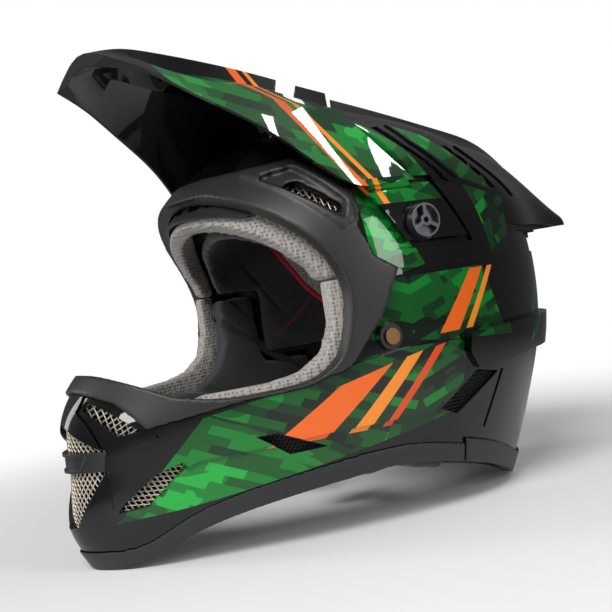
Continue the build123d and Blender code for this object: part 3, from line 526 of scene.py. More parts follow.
def visor_form(thinning, skirt=8):
    """The visor's roof filled solid, or the hollow under it."""
    rows = np.array(visor_rows) * (half_width, height)
    stations = np.array(visor_stations) * length
    walls = np.array(visor_walls)
    places = np.linspace(stations[0], stations[-1], 90)
    smooth = spline(stations, rows, places)
    thick = np.interp(places, stations, walls) * thinning
    if thinning:
        places[0] -= thinning / 2
    rings = []
    for y, row, wall in zip(places, smooth, thick):
        if thinning:
            middle, ridge, foot, fold, edge = row
            row = np.array([(0, middle[1] - wall), (ridge[0] - thinning / 3, ridge[1] - wall),
                            (foot[0] - thinning / 3, foot[1] - wall),
                            (fold[0] - thinning / 2, fold[1] - wall),
                            (edge[0] - thinning, edge[1] - thinning / 4),
                            (edge[0] - thinning, edge[1] - skirt)])
        rings.append(across_ring(row, y))
    return tube_solid("visor", rings)


# Materials
def colour(code):
    """Linear colour from an sRGB hex code."""
    parts = [int(code[i:i + 2], 16) / 255 for i in (0, 2, 4)]
    return tuple(c / 12.92 if c <= 0.04045 else ((c + 0.055) / 1.055) ** 2.4
                 for c in parts) + (1.0,)


class Tree:
    """Adds nodes with settings and links to a node tree."""

    def __init__(self, tree):
        self.tree = tree

    def add(self, kind, inputs=None, **settings):
        node = self.tree.nodes.new(kind)
        for key, value in settings.items():
            setattr(node, key, value)
        for key, value in (inputs or {}).items():
            socket = node.inputs[key]
            if isinstance(value, bpy.types.NodeSocket):
                self.tree.links.new(value, socket)
            else:
                socket.default_value = value
        return node

    def math(self, operation, a, b=0.0):
        return self.add("ShaderNodeMath", {0: a, 1: b}, operation=operation).outputs[0]

    def dot(self, place, direction):
        return self.add("ShaderNodeVectorMath", {0: place, 1: direction},
                        operation="DOT_PRODUCT").outputs["Value"]

    def place(self):
        """Coordinates in metres on the piece."""
        return self.add("ShaderNodeTexCoord").outputs["Object"]


def material(name, code, roughness, metallic=0.0, **more):
    """Material with its node tree and shader."""
    made = bpy.data.materials.new(name)
    made.use_nodes = True
    made.node_tree.nodes.clear()
    tree = Tree(made.node_tree)
    shader = tree.add("ShaderNodeBsdfPrincipled", {
        "Base Color": colour(code), "Roughness": roughness, "Metallic": metallic})
    for key, value in more.items():
        shader.inputs[key.replace("_", " ")].default_value = value
    tree.add("ShaderNodeOutputMaterial", {"Surface": shader.outputs[0]})
    return made, tree, shader


def rounded(tree, shader, radius, normal=None):
    """Light-catching edges of a small radius in millimetres."""
    inputs = {"Radius": radius * 0.001}
    if normal is not None:
        inputs["Normal"] = normal
    bevel = tree.add("ShaderNodeBevel", inputs, samples=4)
    tree.tree.links.new(bevel.outputs[0], shader.inputs["Normal"])


def grain(tree, scale_mm, strength, distance_mm, kind="ShaderNodeTexNoise"):
    """Bump from a fine pattern of a size in millimetres."""
    pattern = tree.add(kind, {"Vector": tree.place(), "Scale": 1000 / scale_mm})
    out = pattern.outputs["Distance"] if kind == "ShaderNodeTexVoronoi" else pattern.outputs[0]
    bump = tree.add("ShaderNodeBump", {"Height": out, "Strength": strength,
                                       "Distance": distance_mm * 0.001})
    return bump.outputs[0]


def plain(name, code, roughness, metallic=0.0, edge=None, bump=None, **more):
    """Material of one colour, with light-catching edges and a grain if asked."""
    made, tree, shader = material(name, code, roughness, metallic, **more)
    normal = grain(tree, *bump) if bump else None
    if edge:
        rounded(tree, shader, edge, normal)
    elif bump:
        tree.tree.links.new(normal, shader.inputs["Normal"])
    return made


def area_of(tree, place, corners, first=1, second=2):
    """Mask of a convex outline in two of the coordinates, corners in millimetres."""
    corners = np.array(corners, float)
    middle = corners.mean(axis=0)
    mask = None
    for a, b in zip(corners, np.roll(corners, -1, axis=0)):
        normal = np.array([-(b - a)[1], (b - a)[0]])
        if np.dot(normal, middle - a) < 0:
            normal = -normal
        normal /= np.linalg.norm(normal)
        direction = [0.0, 0.0, 0.0]
        direction[first], direction[second] = normal
        step = tree.math("GREATER_THAN", tree.dot(place, direction),
                         float(normal @ a) * 0.001)
        mask = step if mask is None else tree.math("MULTIPLY", mask, step)
    return mask


def mixed(tree, mask, a, b):
    """One colour outside a mask, the other inside."""
    node = tree.add("ShaderNodeMix", {"Factor": mask}, data_type="RGBA")
    for socket, value in zip([i for i in node.inputs if i.type == "RGBA"], (a, b)):
        if isinstance(value, bpy.types.NodeSocket):
            tree.tree.links.new(value, socket)
        else:
            socket.default_value = value
    return [o for o in node.outputs if o.type == "RGBA"][0]


def shards(tree, place, along, across, pitch):
    """Leaning tiles of mixed greens, each with one flat colour."""
    s = tree.math("DIVIDE", tree.dot(place, along), pitch[0] * 0.001)
    t = tree.math("DIVIDE", tree.dot(place, across), pitch[1] * 0.001)
    row = tree.math("FLOOR", t)
    shift = tree.math("MULTIPLY", row, 0.37)
    cell = tree.math("FLOOR", tree.math("ADD", s, shift))
    both = tree.add("ShaderNodeCombineXYZ", {"X": cell, "Y": row}).outputs[0]
    value = tree.add("ShaderNodeTexWhiteNoise", {"Vector": both}).outputs["Value"]
    drift = tree.add("ShaderNodeTexNoise", {"Vector": place, "Scale": 14.0, "Detail": 1.0})
    # A tile's tone is part chance and part slow drift
    value = tree.math("MULTIPLY", value, 0.55)
    cloud = tree.math("MULTIPLY", drift.outputs[0], 1.5)
    cloud = tree.math("SUBTRACT", cloud, 0.48)
    value = tree.math("ADD", value, cloud)
    ramp = tree.add("ShaderNodeValToRGB", {"Fac": value})
    ramp.color_ramp.interpolation = "CONSTANT"
    stops = [(0.0, "021507"), (0.18, "04300f"), (0.38, "065019"), (0.60, "0a7426"),
             (0.84, "18a03a")]
    elements = ramp.color_ramp.elements
    for place_on, code in stops[2:]:
        elements.new(place_on)
    for element, (place_on, code) in zip(elements, stops):
        element.position = place_on
        element.color = colour(code)
    return ramp.outputs["Color"]


# Gloss clear coat over a printed polymer shell: black ground, green tiles, orange slashes
def paint(name, greens, oranges, plan_blacks=()):
    """Gloss coat over green tiles in side areas, less plan areas, with orange slashes."""
    made, tree, shader = material(name, "050506", 0.45, 0.0, Coat_Weight=0.8,
                                  Coat_Roughness=0.02, Specular_IOR_Level=0.08)
    place = tree.place()
    away = tree.add("ShaderNodeVectorMath", {0: place}, operation="ABSOLUTE").outputs[0]
    tiles = shards(tree, away, (0.35, 0.85, 0.40), (0.25, -0.30, 0.90), (17, 5.5))
    mask = None
    for corners in greens:
        area = area_of(tree, place, corners)
        mask = area if mask is None else tree.math("MAXIMUM", mask, area)
    for corners in plan_blacks:
        hidden = tree.math("SUBTRACT", 1.0, area_of(tree, place, corners, 0, 1))
        mask = tree.math("MULTIPLY", mask, hidden)
    result = mixed(tree, mask, colour("030304"), tiles)
    for corners, code in oranges:
        result = mixed(tree, area_of(tree, place, corners), result, colour(code))
    tree.tree.links.new(result, shader.inputs["Base Color"])
    rounded(tree, shader, 1.1)
    return made


shell_paint = paint(
    "shell_paint",
    greens=[
        [(-176, 28), (-128, 86), (-20, 108), (40, 106), (30, 58), (-60, 44), (-140, 34)],
        [(-30, 112), (-22, 150), (62, 150), (84, 98), (20, 108)],
        [(-10, 252), (12, 262), (24, 232), (46, 204), (22, 204)],
        [(31, 250), (37, 235), (60, 208), (90, 198), (64, 231), (54, 240)],
        [(62, 203), (98, 192), (92, 158), (72, 156)],
        [(-24, 207), (-24, 154), (-2, 153), (12, 156), (-14, 207)],
        [(104, 92), (112, 92), (150, 146), (140, 150)],
    ],
    oranges=[
        ([(-96, 62), (-62, 62), (-18, 100), (-52, 92)], "e8641a"),
        ([(-48, 62), (-36, 62), (4, 104), (-8, 102)], "f08a24"),
        ([(-26, 62), (-20, 62), (22, 106), (14, 105)], "d8480f"),
        ([(20, 112), (36, 112), (62, 149), (50, 149)], "e8641a"),
        ([(42, 112), (48, 112), (72, 149), (67, 149)], "f08a24"),
    ])
visor_paint = paint(
    "visor_paint",
    greens=[
        [(-118, 320), (40, 320), (40, 195), (-34, 195), (-112, 285)],
    ],
    oranges=[
        ([(-56, 320), (-50, 320), (-14, 195), (-22, 195)], "e8641a"),
        ([(-46, 320), (-43, 320), (-5, 195), (-9, 195)], "f08a24"),
    ],
    plan_blacks=[
        [(-18, -150), (18, -150), (30, 40), (-30, 40)],
    ])
# The same clear coat over plain black, under the visor
gloss_black = plain("gloss_black", "040405", 0.45, edge=0.7, Coat_Weight=0.8,
                    Coat_Roughness=0.04, Specular_IOR_Level=0.08)
# Bare black polymer inside the shell
bare_black = plain("bare_black", "0d0d0e", 0.6)
# Satin moulded polymer of the eyeport trim
trim_plastic = plain("trim_plastic", "232221", 0.46, edge=1.2, bump=(0.7, 0.25, 0.06))
# Satin black moulding of the mouth bridge
bridge_plastic = plain("bridge_plastic", "18181a", 0.38, edge=0.8)
# Matt soft rubber
rim_rubber = plain("rim_rubber", "1d1e22", 0.5, edge=1.2, bump=(0.5, 0.15, 0.05))
# Moulded bead foam, black
impact_foam = plain("impact_foam", "1b1b1d", 0.85,
                    bump=(4.0, 0.5, 0.4, "ShaderNodeTexVoronoi"))
# Moulded nylon of studs, duct and washers
stud_plastic = plain("stud_plastic", "1c1c1e", 0.5)
duct_plastic = plain("duct_plastic", "161617", 0.45)
washer_plastic = plain("washer_plastic", "0c0c0d", 0.35)
# Bare expanded steel, slightly warm
steel_mesh = plain("steel_mesh", "b3a99c", 0.32, 1.0)
# Expanded steel with a black coat
black_mesh = plain("black_mesh", "1a1a1b", 0.45, 0.3)
# Smoked grey anodised aluminium
screw_metal = plain("screw_metal", "6a6a6e", 0.28, 0.9, edge=0.3)
# Turned brass
insert_brass = plain("insert_brass", "b08d4a", 0.3, 1.0)
# Bright plated steel
ring_steel = plain("ring_steel", "c8c8cc", 0.18, 1.0)
# Antique bronze plating
rivet_bronze = plain("rivet_bronze", "8a6a48", 0.35, 1.0, edge=0.3)


def cloth(name, code, roughness, cell, strength, depth, dark):
    """Fabric with a fine woven or knitted cell of a size in millimetres."""
    made, tree, shader = material(name, code, roughness, 0.0, Sheen_Weight=0.25)
    place = tree.place()
    pattern = tree.add("ShaderNodeTexVoronoi", {"Vector": place, "Scale": 1000 / cell,
                                                "Randomness": 0.35})
    ramp = tree.add("ShaderNodeMapRange", {"Value": pattern.outputs["Distance"],
                                           "From Max": 0.6, "To Min": dark, "To Max": 1.0})
    tint = mixed(tree, ramp.outputs[0], colour("020202"), colour(code))
    tree.tree.links.new(tint, shader.inputs["Base Color"])
    bump = tree.add("ShaderNodeBump", {"Height": pattern.outputs["Distance"],
                                       "Strength": strength, "Distance": depth * 0.001})
    tree.tree.links.new(bump.outputs[0], shader.inputs["Normal"])
    return made


# Open grey spacer mesh of the face roll
spacer_mesh = cloth("spacer_mesh", "a8a29c", 0.8, 2.3, 0.9, 0.8, 0.10)
# Brushed black pad fabric
pad_fabric = cloth("pad_fabric", "29292c", 0.9, 0.8, 0.4, 0.15, 0.65)
# Black liner fabric
liner_fabric = cloth("liner_fabric", "303034", 0.9, 1.1, 0.5, 0.2, 0.55)
# Woven black webbing
strap_webbing = cloth("strap_webbing", "161617", 0.8, 1.0, 0.6, 0.25, 0.5)
# Red corded piping
red_piping = cloth("red_piping", "c8161e", 0.75, 0.8, 0.6, 0.2, 0.5)


def stands_for(body, replaced, node_body):
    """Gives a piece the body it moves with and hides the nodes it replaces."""
    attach(body, node_body)
    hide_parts(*replaced)


def present(body, name, finish, node, slot, angle=28, node_body="helmet", inner=None,
            inner_test=None):
    """Puts a finished piece into the scene in a node's place, smooth but for its creases."""
    body.name = name
    body.data.name = name
    body.data.validate()
    body.data.materials.clear()
    body.data.materials.append(finish)
    if inner:
        body.data.materials.append(inner)
    for polygon in body.data.polygons:
        polygon.material_index = 1 if inner and inner_test(polygon) else 0
    bpy.context.scene.collection.objects.link(body)
    body.data.shade_smooth()
    body.data.set_sharp_from_angle(angle=math.radians(angle))
    stands_for(body, [node], node_body)


def facing(polygon, place, limit=-0.25):
    """Whether a face looks towards a place."""
    away = polygon.center - Vector(place)
    return polygon.normal.dot(away.normalized()) < limit


def deeper(inset, depth):
    """Test for faces that lie deeper under a skin than a depth."""
    tree = tree_of(inset)
    return lambda polygon: tree.find_nearest(polygon.center)[3] > depth * 0.001


def softened(body, voxel, rounds):
    """Rounds a body's edges by an even mesh and some smoothing."""
    remesh = body.modifiers.new("even", "REMESH")
    remesh.mode = "VOXEL"
    remesh.voxel_size = voxel * 0.001
    smooth = body.modifiers.new("smooth", "SMOOTH")
    smooth.factor = 0.5
    smooth.iterations = rounds
    return bpy.data.objects.new("soft", finished(body))


def saddle_pin(radius):
    """Wide bar across the helmet that the middle screw's saddle follows."""
    return cross_pin(*pivot, radius, -half_width, half_width, False, 160)


def through(name, start=flank, end=far, grow=0.0):
    """Side outline run outwards on both sides of the helmet."""
    return prism(side(name, grow), start, end, True)


# Outer shell
base_skin = skin(panel_step)
trim_space = prism(side("trim", seat_gap))
panels = [combine(skin(0), ("keep", prism(side(name))), ("cut", trim_space))
          for name in ("upper_panel", "lower_panel")]
nape_band = combine(skin(-hood_stand), ("keep", prism(side("nape_band"))))
crown = combine(fairing(0), ("keep", seam_body(seam_shift)))
crown_inner = combine(fairing(crown_wall), ("keep", seam_body(seam_shift + crown_wall)))
arm_pocket = combine(through("arm_pocket"), ("cut", base_skin))
scoop_depth = 0.9
scoop = combine(through("scoop"), ("cut", skin(panel_step + scoop_depth)))
saddle = saddle_pin(saddle_radius)
vents = {name: through(name, start, end) for name, start, end in (
    ("brow", flank, far), ("chin_top", 15, 60), ("chin_side", 24, far),
    ("diamond", flank, far), ("exhaust", flank, far))}
mouth = front_prism("mouth")
spoiler_gap = combine(through("spoiler", 12, 74.4), ("cut", skin(shell_inner)))
# Two knurled louvre grooves and the ribs behind them, low relief on the crown
grooves = [
    [(16, 247), (24.7, 231.7), (35.7, 218.6), (44.7, 206.2), (51.5, 205.4), (41, 217.5),
     (28.9, 232.5), (21.5, 248)],
    [(65, 231), (78, 214.7), (90, 199.2), (96.5, 198.8), (85, 215.3), (71, 232)]]
ribs = [
    [(29.5, 249), (35, 235), (48, 218), (57, 208), (60, 208), (50.6, 219), (37.6, 236),
     (32, 249)],
    [(84.6, 232), (97.4, 217), (115, 193.5), (118, 193), (100.4, 217), (87.6, 232)]]
groove_depth, rib_height, rib_foot, rib_seam = 1.3, 0.9, 1.0, 4.4
recess = combine(fairing(0), ("cut", fairing(groove_depth)), ("keep", seam_body(seam_shift)))
raised = combine(fairing(-rib_height), ("cut", fairing(rib_foot)),
                 ("keep", seam_body(rib_seam)))
# Shallow recess round the upper chin vent
chin_recess = combine(prism([(-184, 98), (-178, 107), (-168, 104), (-150, 78), (-176, 70)],
                            9, 60, True), ("cut", skin(4.0)))
shell = combine(
    base_skin, ("add", *panels, nape_band), ("cut", scoop), ("add", crown),
    ("cut", arm_pocket, cross_pin(*rivet, rivet_boss, rivet_face, half_width)),
    ("add", cross_pin(*pivot, boss_radius, flank, boss_face),
     cross_pin(*rivet, rivet_boss, flank, rivet_face),
     combine(top_pin(top_boss, top_start, far), ("keep", saddle))),
    ("cut", skin(shell_inner), crown_inner, eyeport(edge_wrap + seat_gap), below_rim(3),
     *vents.values(), mouth, spoiler_gap, cross_pin(*pivot, insert_bore, flank, half_width),
     cross_pin(*rivet, rivet_bore, flank, half_width), top_pin(insert_bore, top_start, far),
     chin_recess, *[combine(recess, ("keep", prism(line))) for line in grooves]),
    ("add", *[combine(raised, ("keep", prism(line))) for line in ribs]))
present(shell, "shell_smooth", shell_paint, "outer_shell", "shell_paint", inner=bare_black,
        inner_test=lambda p: facing(p, (0, min(max(p.center.y, -0.1), 0.1), 0.12)))

# Eyeport trim with its hoods
hood_start = 39.6
trim_seat = skin(panel_step - seat_gap)
hood = combine(skin(-hood_stand), ("cut", trim_seat), ("keep", through("hood", hood_start)))
trim_wall = combine(skin(-trim_stand), ("cut", skin(trim_lip)), ("keep", eyeport(edge_wrap)))
hood_recess = combine(through("hood_recess", hood_start), ("cut", skin(seat_gap)))
trim = combine(skin(-trim_stand), ("cut", trim_seat), ("keep", prism(side("trim"))),
               ("add", hood, trim_wall), ("cut", hood_recess, eyeport(), vents["brow"]))
present(softened(trim, 1.3, 3), "trim_smooth", trim_plastic,
        "eyeport_trim", "trim_plastic", 60)

# Rubber rim in two pieces
rim_wall = 1.6
groove = combine(trim_seat, ("cut", skin(shell_inner + seat_gap), below_rim(2.7)))
rim = combine(skin(panel_step - rim_wall), ("cut", skin(shell_inner + rim_wall)),
              ("keep", below_rim(12.5)), ("cut", below_rim(0)),
              ("keep", prism(side("front_zone"))), ("cut", groove))
nape = combine(skin(0), ("cut", skin(shell_inner + rim_wall)), ("keep", below_rim(16)),
               ("keep", prism(side("rear_zone"))), ("cut", below_rim(0), groove))
for body, word in ((rim, "rim"), (nape, "nape")):
    present(softened(body, 0.9, 5), word + "_smooth", rim_rubber, word + "_trim", "rim_rubber")

# Mouth bridge with its inner relief
bridge = combine(skin(3.0), ("cut", skin(shell_inner)), ("keep", front_prism("bridge")),
                 ("keep", front_prism("mouth", -seat_gap)))
relief = prism([(-19, 71.4), (19, 71.4), (14, 63.2), (-14, 63.2)], -far, mouth_front, axis="y")
bridge = combine(bridge, ("cut", combine(relief, ("cut", skin(4.3)))))
present(bridge, "mouth_bridge_smooth", bridge_plastic, "mouth_bridge", "bridge_plastic")

# Brow duct frame with three slots on each side
duct = combine(skin(9), ("cut", skin(11.6)), ("keep", prism([
    (-132, 209.6), (-100, 209.6), (-76, 200), (-68, 205.6), (-86, 224.1), (-132, 224.1)])))
for share in (0.10, 0.26, 0.42):
    for sign, word in sides:
        low, high = share * half_width - 6.5, share * half_width + 6.5
        slot_ring = [(low, 211.4), (high, 211.4), (high, 215.4), (low, 215.4)]
        hole = prism([(x * sign, z) for x, z in slot_ring], -far, mouth_front / 8, axis="y")
        duct = combine(duct, ("cut", hole))
present(duct, "brow_duct_smooth", duct_plastic, "brow_duct", "duct_plastic")

# Visor with its slotted pocket over the middle screw
pocket_half, pocket_wall, slot_half, pocket_floor = 10.1, 2.5, 3.3, 3.0
arm_stand, arm_gap = 3.3, 0.4
screw_bore = 3.05
visor_roof = visor_form(0)
pocket_block = combine(tilt_fan(pocket_half), ("keep", visor_roof),
                       ("cut", saddle_pin(saddle_radius + seat_gap)))
pocket_hollow = combine(tilt_fan(pocket_half - pocket_wall),
                        ("cut", saddle_pin(saddle_radius + seat_gap + pocket_floor)))
over_skin = skin(-arm_gap)
arm = combine(skin(-arm_stand), ("keep", through("arm")), ("cut", over_skin))
shoulder = combine(through("arm_shoulder", end=113.2), ("cut", over_skin))
visor = combine(
    visor_roof, ("cut", visor_form(3)), ("add", pocket_block),
    ("cut", pocket_hollow, tilt_fan(slot_half), seam_body(0)), ("add", arm, shoulder),
    ("cut", cross_pin(*pivot, boss_radius + seat_gap, flank, boss_face + seat_gap),
     cross_pin(*pivot, boss_radius, arm_face, far)),
    ("add", cross_pin(*pivot, boss_radius, boss_face + seat_gap, arm_face)),
    ("cut", cross_pin(*pivot, screw_bore, flank, far)))
present(visor, "visor_smooth", visor_paint, "visor", "visor_paint", 24, "visor", gloss_black,
        lambda p: facing(p, (0, p.center.y, 0.15)))

# Impact foam of skull, chin and cheeks
foam_inner = foam_outer + 29
foam_bore = 5.3
vent_room = 3.3
behind_shell = skin(7.9)
crown_foam_shift = 3.8
lip_space = eyeport(edge_wrap + 2 * seat_gap)


def vent_hollow(name, start=flank, end=far, grow=vent_room):
    """Room round a vent behind the shell."""
    return combine(through(name, start, end, grow), ("cut", behind_shell))


crown_foam = combine(
    skin(foam_outer), ("keep", prism(side("crown_foam"))),
    ("add", combine(fairing(crown_foam_shift),
                    ("keep", seam_body(seam_shift + crown_foam_shift)))),
    ("cut", skin(foam_inner), lip_space, below_rim(16.3),
     cross_pin(*pivot, foam_bore, 104.4, half_width), top_pin(foam_bore, 72.7, far),
     vent_hollow("spoiler", 9.2, 79.2, 0), vent_hollow("exhaust"), vents["brow"]))
present(crown_foam, "crown_foam_smooth", impact_foam, "crown_foam", "impact_foam", 30)
chin_foam = combine(
    skin(foam_outer), ("cut", skin(foam_outer + 20)), ("keep", prism(side("chin_foam"))),
    ("cut", lip_space, below_rim(12.8), vents["chin_top"], vents["chin_side"],
     vent_hollow("chin_top", 13.2, 60), vent_hollow("chin_side", 20),
     combine(front_prism("mouth", vent_room), ("cut", behind_shell)),
     front_prism("mouth", -3)))
present(chin_foam, "chin_foam_smooth", impact_foam, "chin_foam", "impact_foam", 30)


def one_side(body, sign):
    """The part of a body on one side of the helmet."""
    square = [(-far, -far), (far, -far), (far, far), (-far, far)]
    reach = (0.0, far) if sign > 0 else (-far, 0.0)
    return combine(body, ("keep", prism(square, *reach)))


cheek_outer, cheek_inner, rivet_room, rivet_depth = 8.2, 18.2, 5.6, 106
cheek_foam = combine(skin(cheek_outer), ("cut", skin(cheek_inner)),
                     ("keep", prism(side("cheek_foam"))),
                     ("cut", cross_pin(*rivet, rivet_room, rivet_depth, far)))
for sign, word in sides:
    present(one_side(cheek_foam, sign), "cheek_foam_smooth_" + word, impact_foam,
            "cheek_foam_" + word, "impact_foam", 30)


# Cheek pads, crown liner and neck roll: padded covers pressed out of even meshes
def stuffed(body, voxel, pressure, cap, rounds=6, frames=20):
    """Even mesh of a body blown up a little like a filled cover."""
    scene = bpy.context.scene
    even = softened(body, voxel, rounds)
    scene.collection.objects.link(even)
    start = rows_of(even.data)
    cover = even.modifiers.new("cover", "CLOTH")
    cover.settings.use_pressure = True
    cover.settings.uniform_pressure_force = pressure
    cover.settings.effector_weights.gravity = 0
    cover.settings.quality = 4
    cover.point_cache.frame_start = 1
    cover.point_cache.frame_end = frames
    for step in range(1, frames + 1):
        scene.frame_set(step)
    graph = bpy.context.evaluated_depsgraph_get()
    blown = bpy.data.meshes.new_from_object(even.evaluated_get(graph))
    move = rows_of(blown) - start
    size = np.linalg.norm(move, axis=1)
    move *= (np.minimum(size, cap * 0.001) / np.maximum(size, 1e-9))[:, None]
    blown.vertices.foreach_set("co", (start + move).ravel())
    scene.collection.objects.unlink(even)
    scene.frame_set(1)
    puffed = bpy.data.objects.new("puffed", blown)
    puffed.modifiers.new("finer", "SUBSURF").levels = 1
    return bpy.data.objects.new("stuffed", finished(puffed))


def sewn(body, line, width, depth):
    """Draws a body's surface in along a line in the side view, like a sewn channel."""
    mesh = body.data
    co = rows_of(mesh)
    points = np.asarray(line, float) * 0.001
    near = np.full(len(co), 1.0)
    for a, b in zip(points[:-1], points[1:]):
        run = b - a
        t = np.clip(((co[:, 1:] - a) @ run) / (run @ run), 0, 1)
        near = np.minimum(near, np.linalg.norm(co[:, 1:] - a - t[:, None] * run, axis=1))
    pull = depth * 0.001 * np.exp(-(near / (width * 0.001)) ** 2)
    mesh.vertices.foreach_set("co", (co - rows_of(mesh, "normal") * pull[:, None]).ravel())
    mesh.update()


def on_its_side(body, sign):
    """A left body as it is, or its mirror image for the right."""
    if sign > 0:
        return body
    mesh = body.data.copy()
    mesh.vertices.foreach_set("co", (rows_of(mesh) * (-1, 1, 1)).ravel())
    mesh.flip_normals()
    return bpy.data.objects.new("mirrored", mesh)


def band_inside(cover, line, half_wide, half_thick, count=70):
    """Flat band laid on the inner face of a cover, along a line in the side view."""
    tree = surface(cover.data)
    path, out = [], []
    for y, z in path_spline(line, count):
        place, normal = tree.ray_cast(Vector((0, y * 0.001, z * 0.001)), Vector((1, 0, 0)))[:2]
        if place is not None:
            path.append(np.array(place) * 1000)
            out.append(np.array(normal))
    path, out = np.array(path), np.array(out)
    for smoothing in range(6):
        for row in (path, out):
            row[1:-1] = (row[:-2] + row[1:-1] * 2 + row[2:]) / 4
    across = np.cross(np.gradient(path, axis=0), out)
    across /= np.linalg.norm(across, axis=1)[:, None]
    turn = np.linspace(0, 2 * math.pi, 14, endpoint=False)
    rings = [[p + half_wide * math.cos(a) * c + half_thick * math.sin(a) * o for a in turn]
             for p, c, o in zip(path, across, out)]
    return tube_solid("band", rings)


# How deep each cover starts and ends under the outside
pad_depths, roll_depths, brow_depths = (18.5, 39.5), (8.9, 21), (14, 26)
liner_depths, neck_depths = (35.6, 43.1), (35.6, 46.1)
cover_depth = 13  # deeper faces of a roll have the plain cover
pad_start = 30  # half the width that the pads leave free at least
pad_body = combine(skin(pad_depths[0]), ("keep", prism(side("pad", -1), pad_start, far)),
                   ("cut", skin(pad_depths[1]), through("window", pad_start)))
pad_left = stuffed(pad_body, 3.0, 3.0, 4)
pad_seams = [[(-47, 152), (-41, 141), (-27, 126), (-10, 114), (3, 104), (16, 94), (36, 80)],
             [(-90, 96), (-60, 88), (-30, 78), (8, 70)],
             [(-30, 152), (-16, 136), (2, 124), (26, 108)]]
for seam_line in pad_seams:
    sewn(pad_left, seam_line, 2.2, 1.8)
roll_body = combine(skin(roll_depths[0]),
                    ("keep", prism(side("pad_roll", -0.6), pad_start, far)),
                    ("cut", skin(roll_depths[1])))
roll_left = stuffed(roll_body, 2.0, 2.5, 1.5, 4)
binding_left = band_inside(pad_left, pad_seams[0], 4.2, 0.9)
for sign, word in sides:
    pad, roll, binding = (on_its_side(body, sign)
                          for body in (pad_left, roll_left, binding_left))
    node = ("cheek_pad_" + word, "pad_fabric")
    present(binding, "pad_binding_" + word, strap_webbing, *node, 60, "pad_" + word)
    present(pad, "cheek_pad_cover_" + word, pad_fabric, *node, 70, "pad_" + word)
    present(roll, "cheek_roll_cover_" + word, spacer_mesh, *node, 70, "pad_" + word,
            pad_fabric, deeper(roll_depths[0], cover_depth))
liner_body = combine(skin(liner_depths[0]), ("keep", prism(side("liner"))),
                     ("cut", skin(liner_depths[1])))
liner = stuffed(liner_body, 3.0, 2.0, 2, 3)
piping_line = [(-22, 214), (-3.5, 196), (11.2, 182.7), (20.1, 172.8), (28, 163.4),
               (35, 153.1), (45.3, 141.4), (54.3, 132.9), (70, 122)]
sewn(liner, piping_line, 3.0, 1.5)
for seam_line in ([(-40, 196), (-10, 168), (10, 140)], [(60, 230), (66, 180), (84, 130)]):
    sewn(liner, seam_line, 2.4, 1.8)
present(liner, "liner_cover", liner_fabric, "comfort_liner", "liner_fabric", 70,
        inner=spacer_mesh, inner_test=lambda p: p.center.z + 1.1 * p.center.y > 0.1935)
brow_body = combine(skin(brow_depths[0]), ("keep", prism(side("liner_roll", -1.0))),
                    ("cut", skin(brow_depths[1])))
brow_roll = stuffed(brow_body, 2.0, 2.5, 1.5, 4)
present(brow_roll, "brow_roll_cover", spacer_mesh, "comfort_liner", "liner_fabric", 70,
        inner=liner_fabric, inner_test=deeper(brow_depths[0], cover_depth))
neck_body = combine(skin(neck_depths[0]), ("cut", skin(neck_depths[1])),
                    ("keep", prism(side("neck"))))
neck = stuffed(neck_body, 3.0, 3.0, 3)
present(neck, "neck_roll_cover", liner_fabric, "neck_roll", "liner_fabric", 70)

# Red piping between the liner's black side and its grey crown
piping_left = band_inside(liner, piping_line, 2.0, 1.4, 90)
for sign, word in sides:
    present(on_its_side(piping_left, sign), "liner_piping_" + word, red_piping,
            "comfort_liner", "liner_fabric", 60)


# Strap webbing: flat ribbons along their run, folded round the rings
strap_width, strap_thick, strap_level = 20, 1.5, 50.25
fold_radius = 8


def ribbon(line, word):
    """Flat band along a line in the cross plane, with rounded edges."""
    line = path_spline(line, 130)
    ahead = np.gradient(line, axis=0)
    ahead /= np.linalg.norm(ahead, axis=1)[:, None]
    normal = np.column_stack([-ahead[:, 1], ahead[:, 0]])
    w, t = strap_width / 2, strap_thick / 2
    section = [(-w, -t * 0.4), (-w + 0.4, -t), (w - 0.4, -t), (w, -t * 0.4), (w, t * 0.4),
               (w - 0.4, t), (-w + 0.4, t), (-w, t * 0.4)]
    rings = [[(point[0] + n[0] * b, rivet[0] + a, point[1] + n[1] * b) for a, b in section]
             for point, n in zip(line, normal)]
    present(tube_solid("ribbon", rings), "strap_ribbon_" + word, strap_webbing,
            "strap_" + word, "strap_webbing", 50)


def strap_line(sign):
    """Run from the rivet down the shell's inside and inwards."""
    down = [(on_side(foam_outer + 0.9, rivet[0], z)[0], z) for z in np.linspace(124.8, 58, 24)]
    corner_x = down[-1][0] - fold_radius
    turn = np.linspace(0, math.pi / 2, 9)[1:]
    corner = [(corner_x + fold_radius * math.cos(a), 58.2 - fold_radius * math.sin(a))
              for a in turn]
    return [(sign * x, z) for x, z in down + corner]


turn = np.linspace(0, math.pi, 13)
left = strap_line(1) + [(60, strap_level), (30, strap_level), (18, strap_level)]
left += [(12 - 2.55 * math.sin(a), 47.7 + 2.55 * math.cos(a)) for a in turn]
left += [(18, 45.15), (22, 45.3), (26, 47.6), (30, 48.6), (44, 48.6)]
ribbon(left, "left")
hem = strap_line(-1) + [(-60, strap_level), (-38, strap_level), (-26, strap_level)]
hem += [(-24.8 + 0.82 * math.sin(a), 49.43 + 0.82 * math.cos(a)) for a in turn]
hem += [(-30, 48.6), (-42, 48.6)]
ribbon(hem, "right")


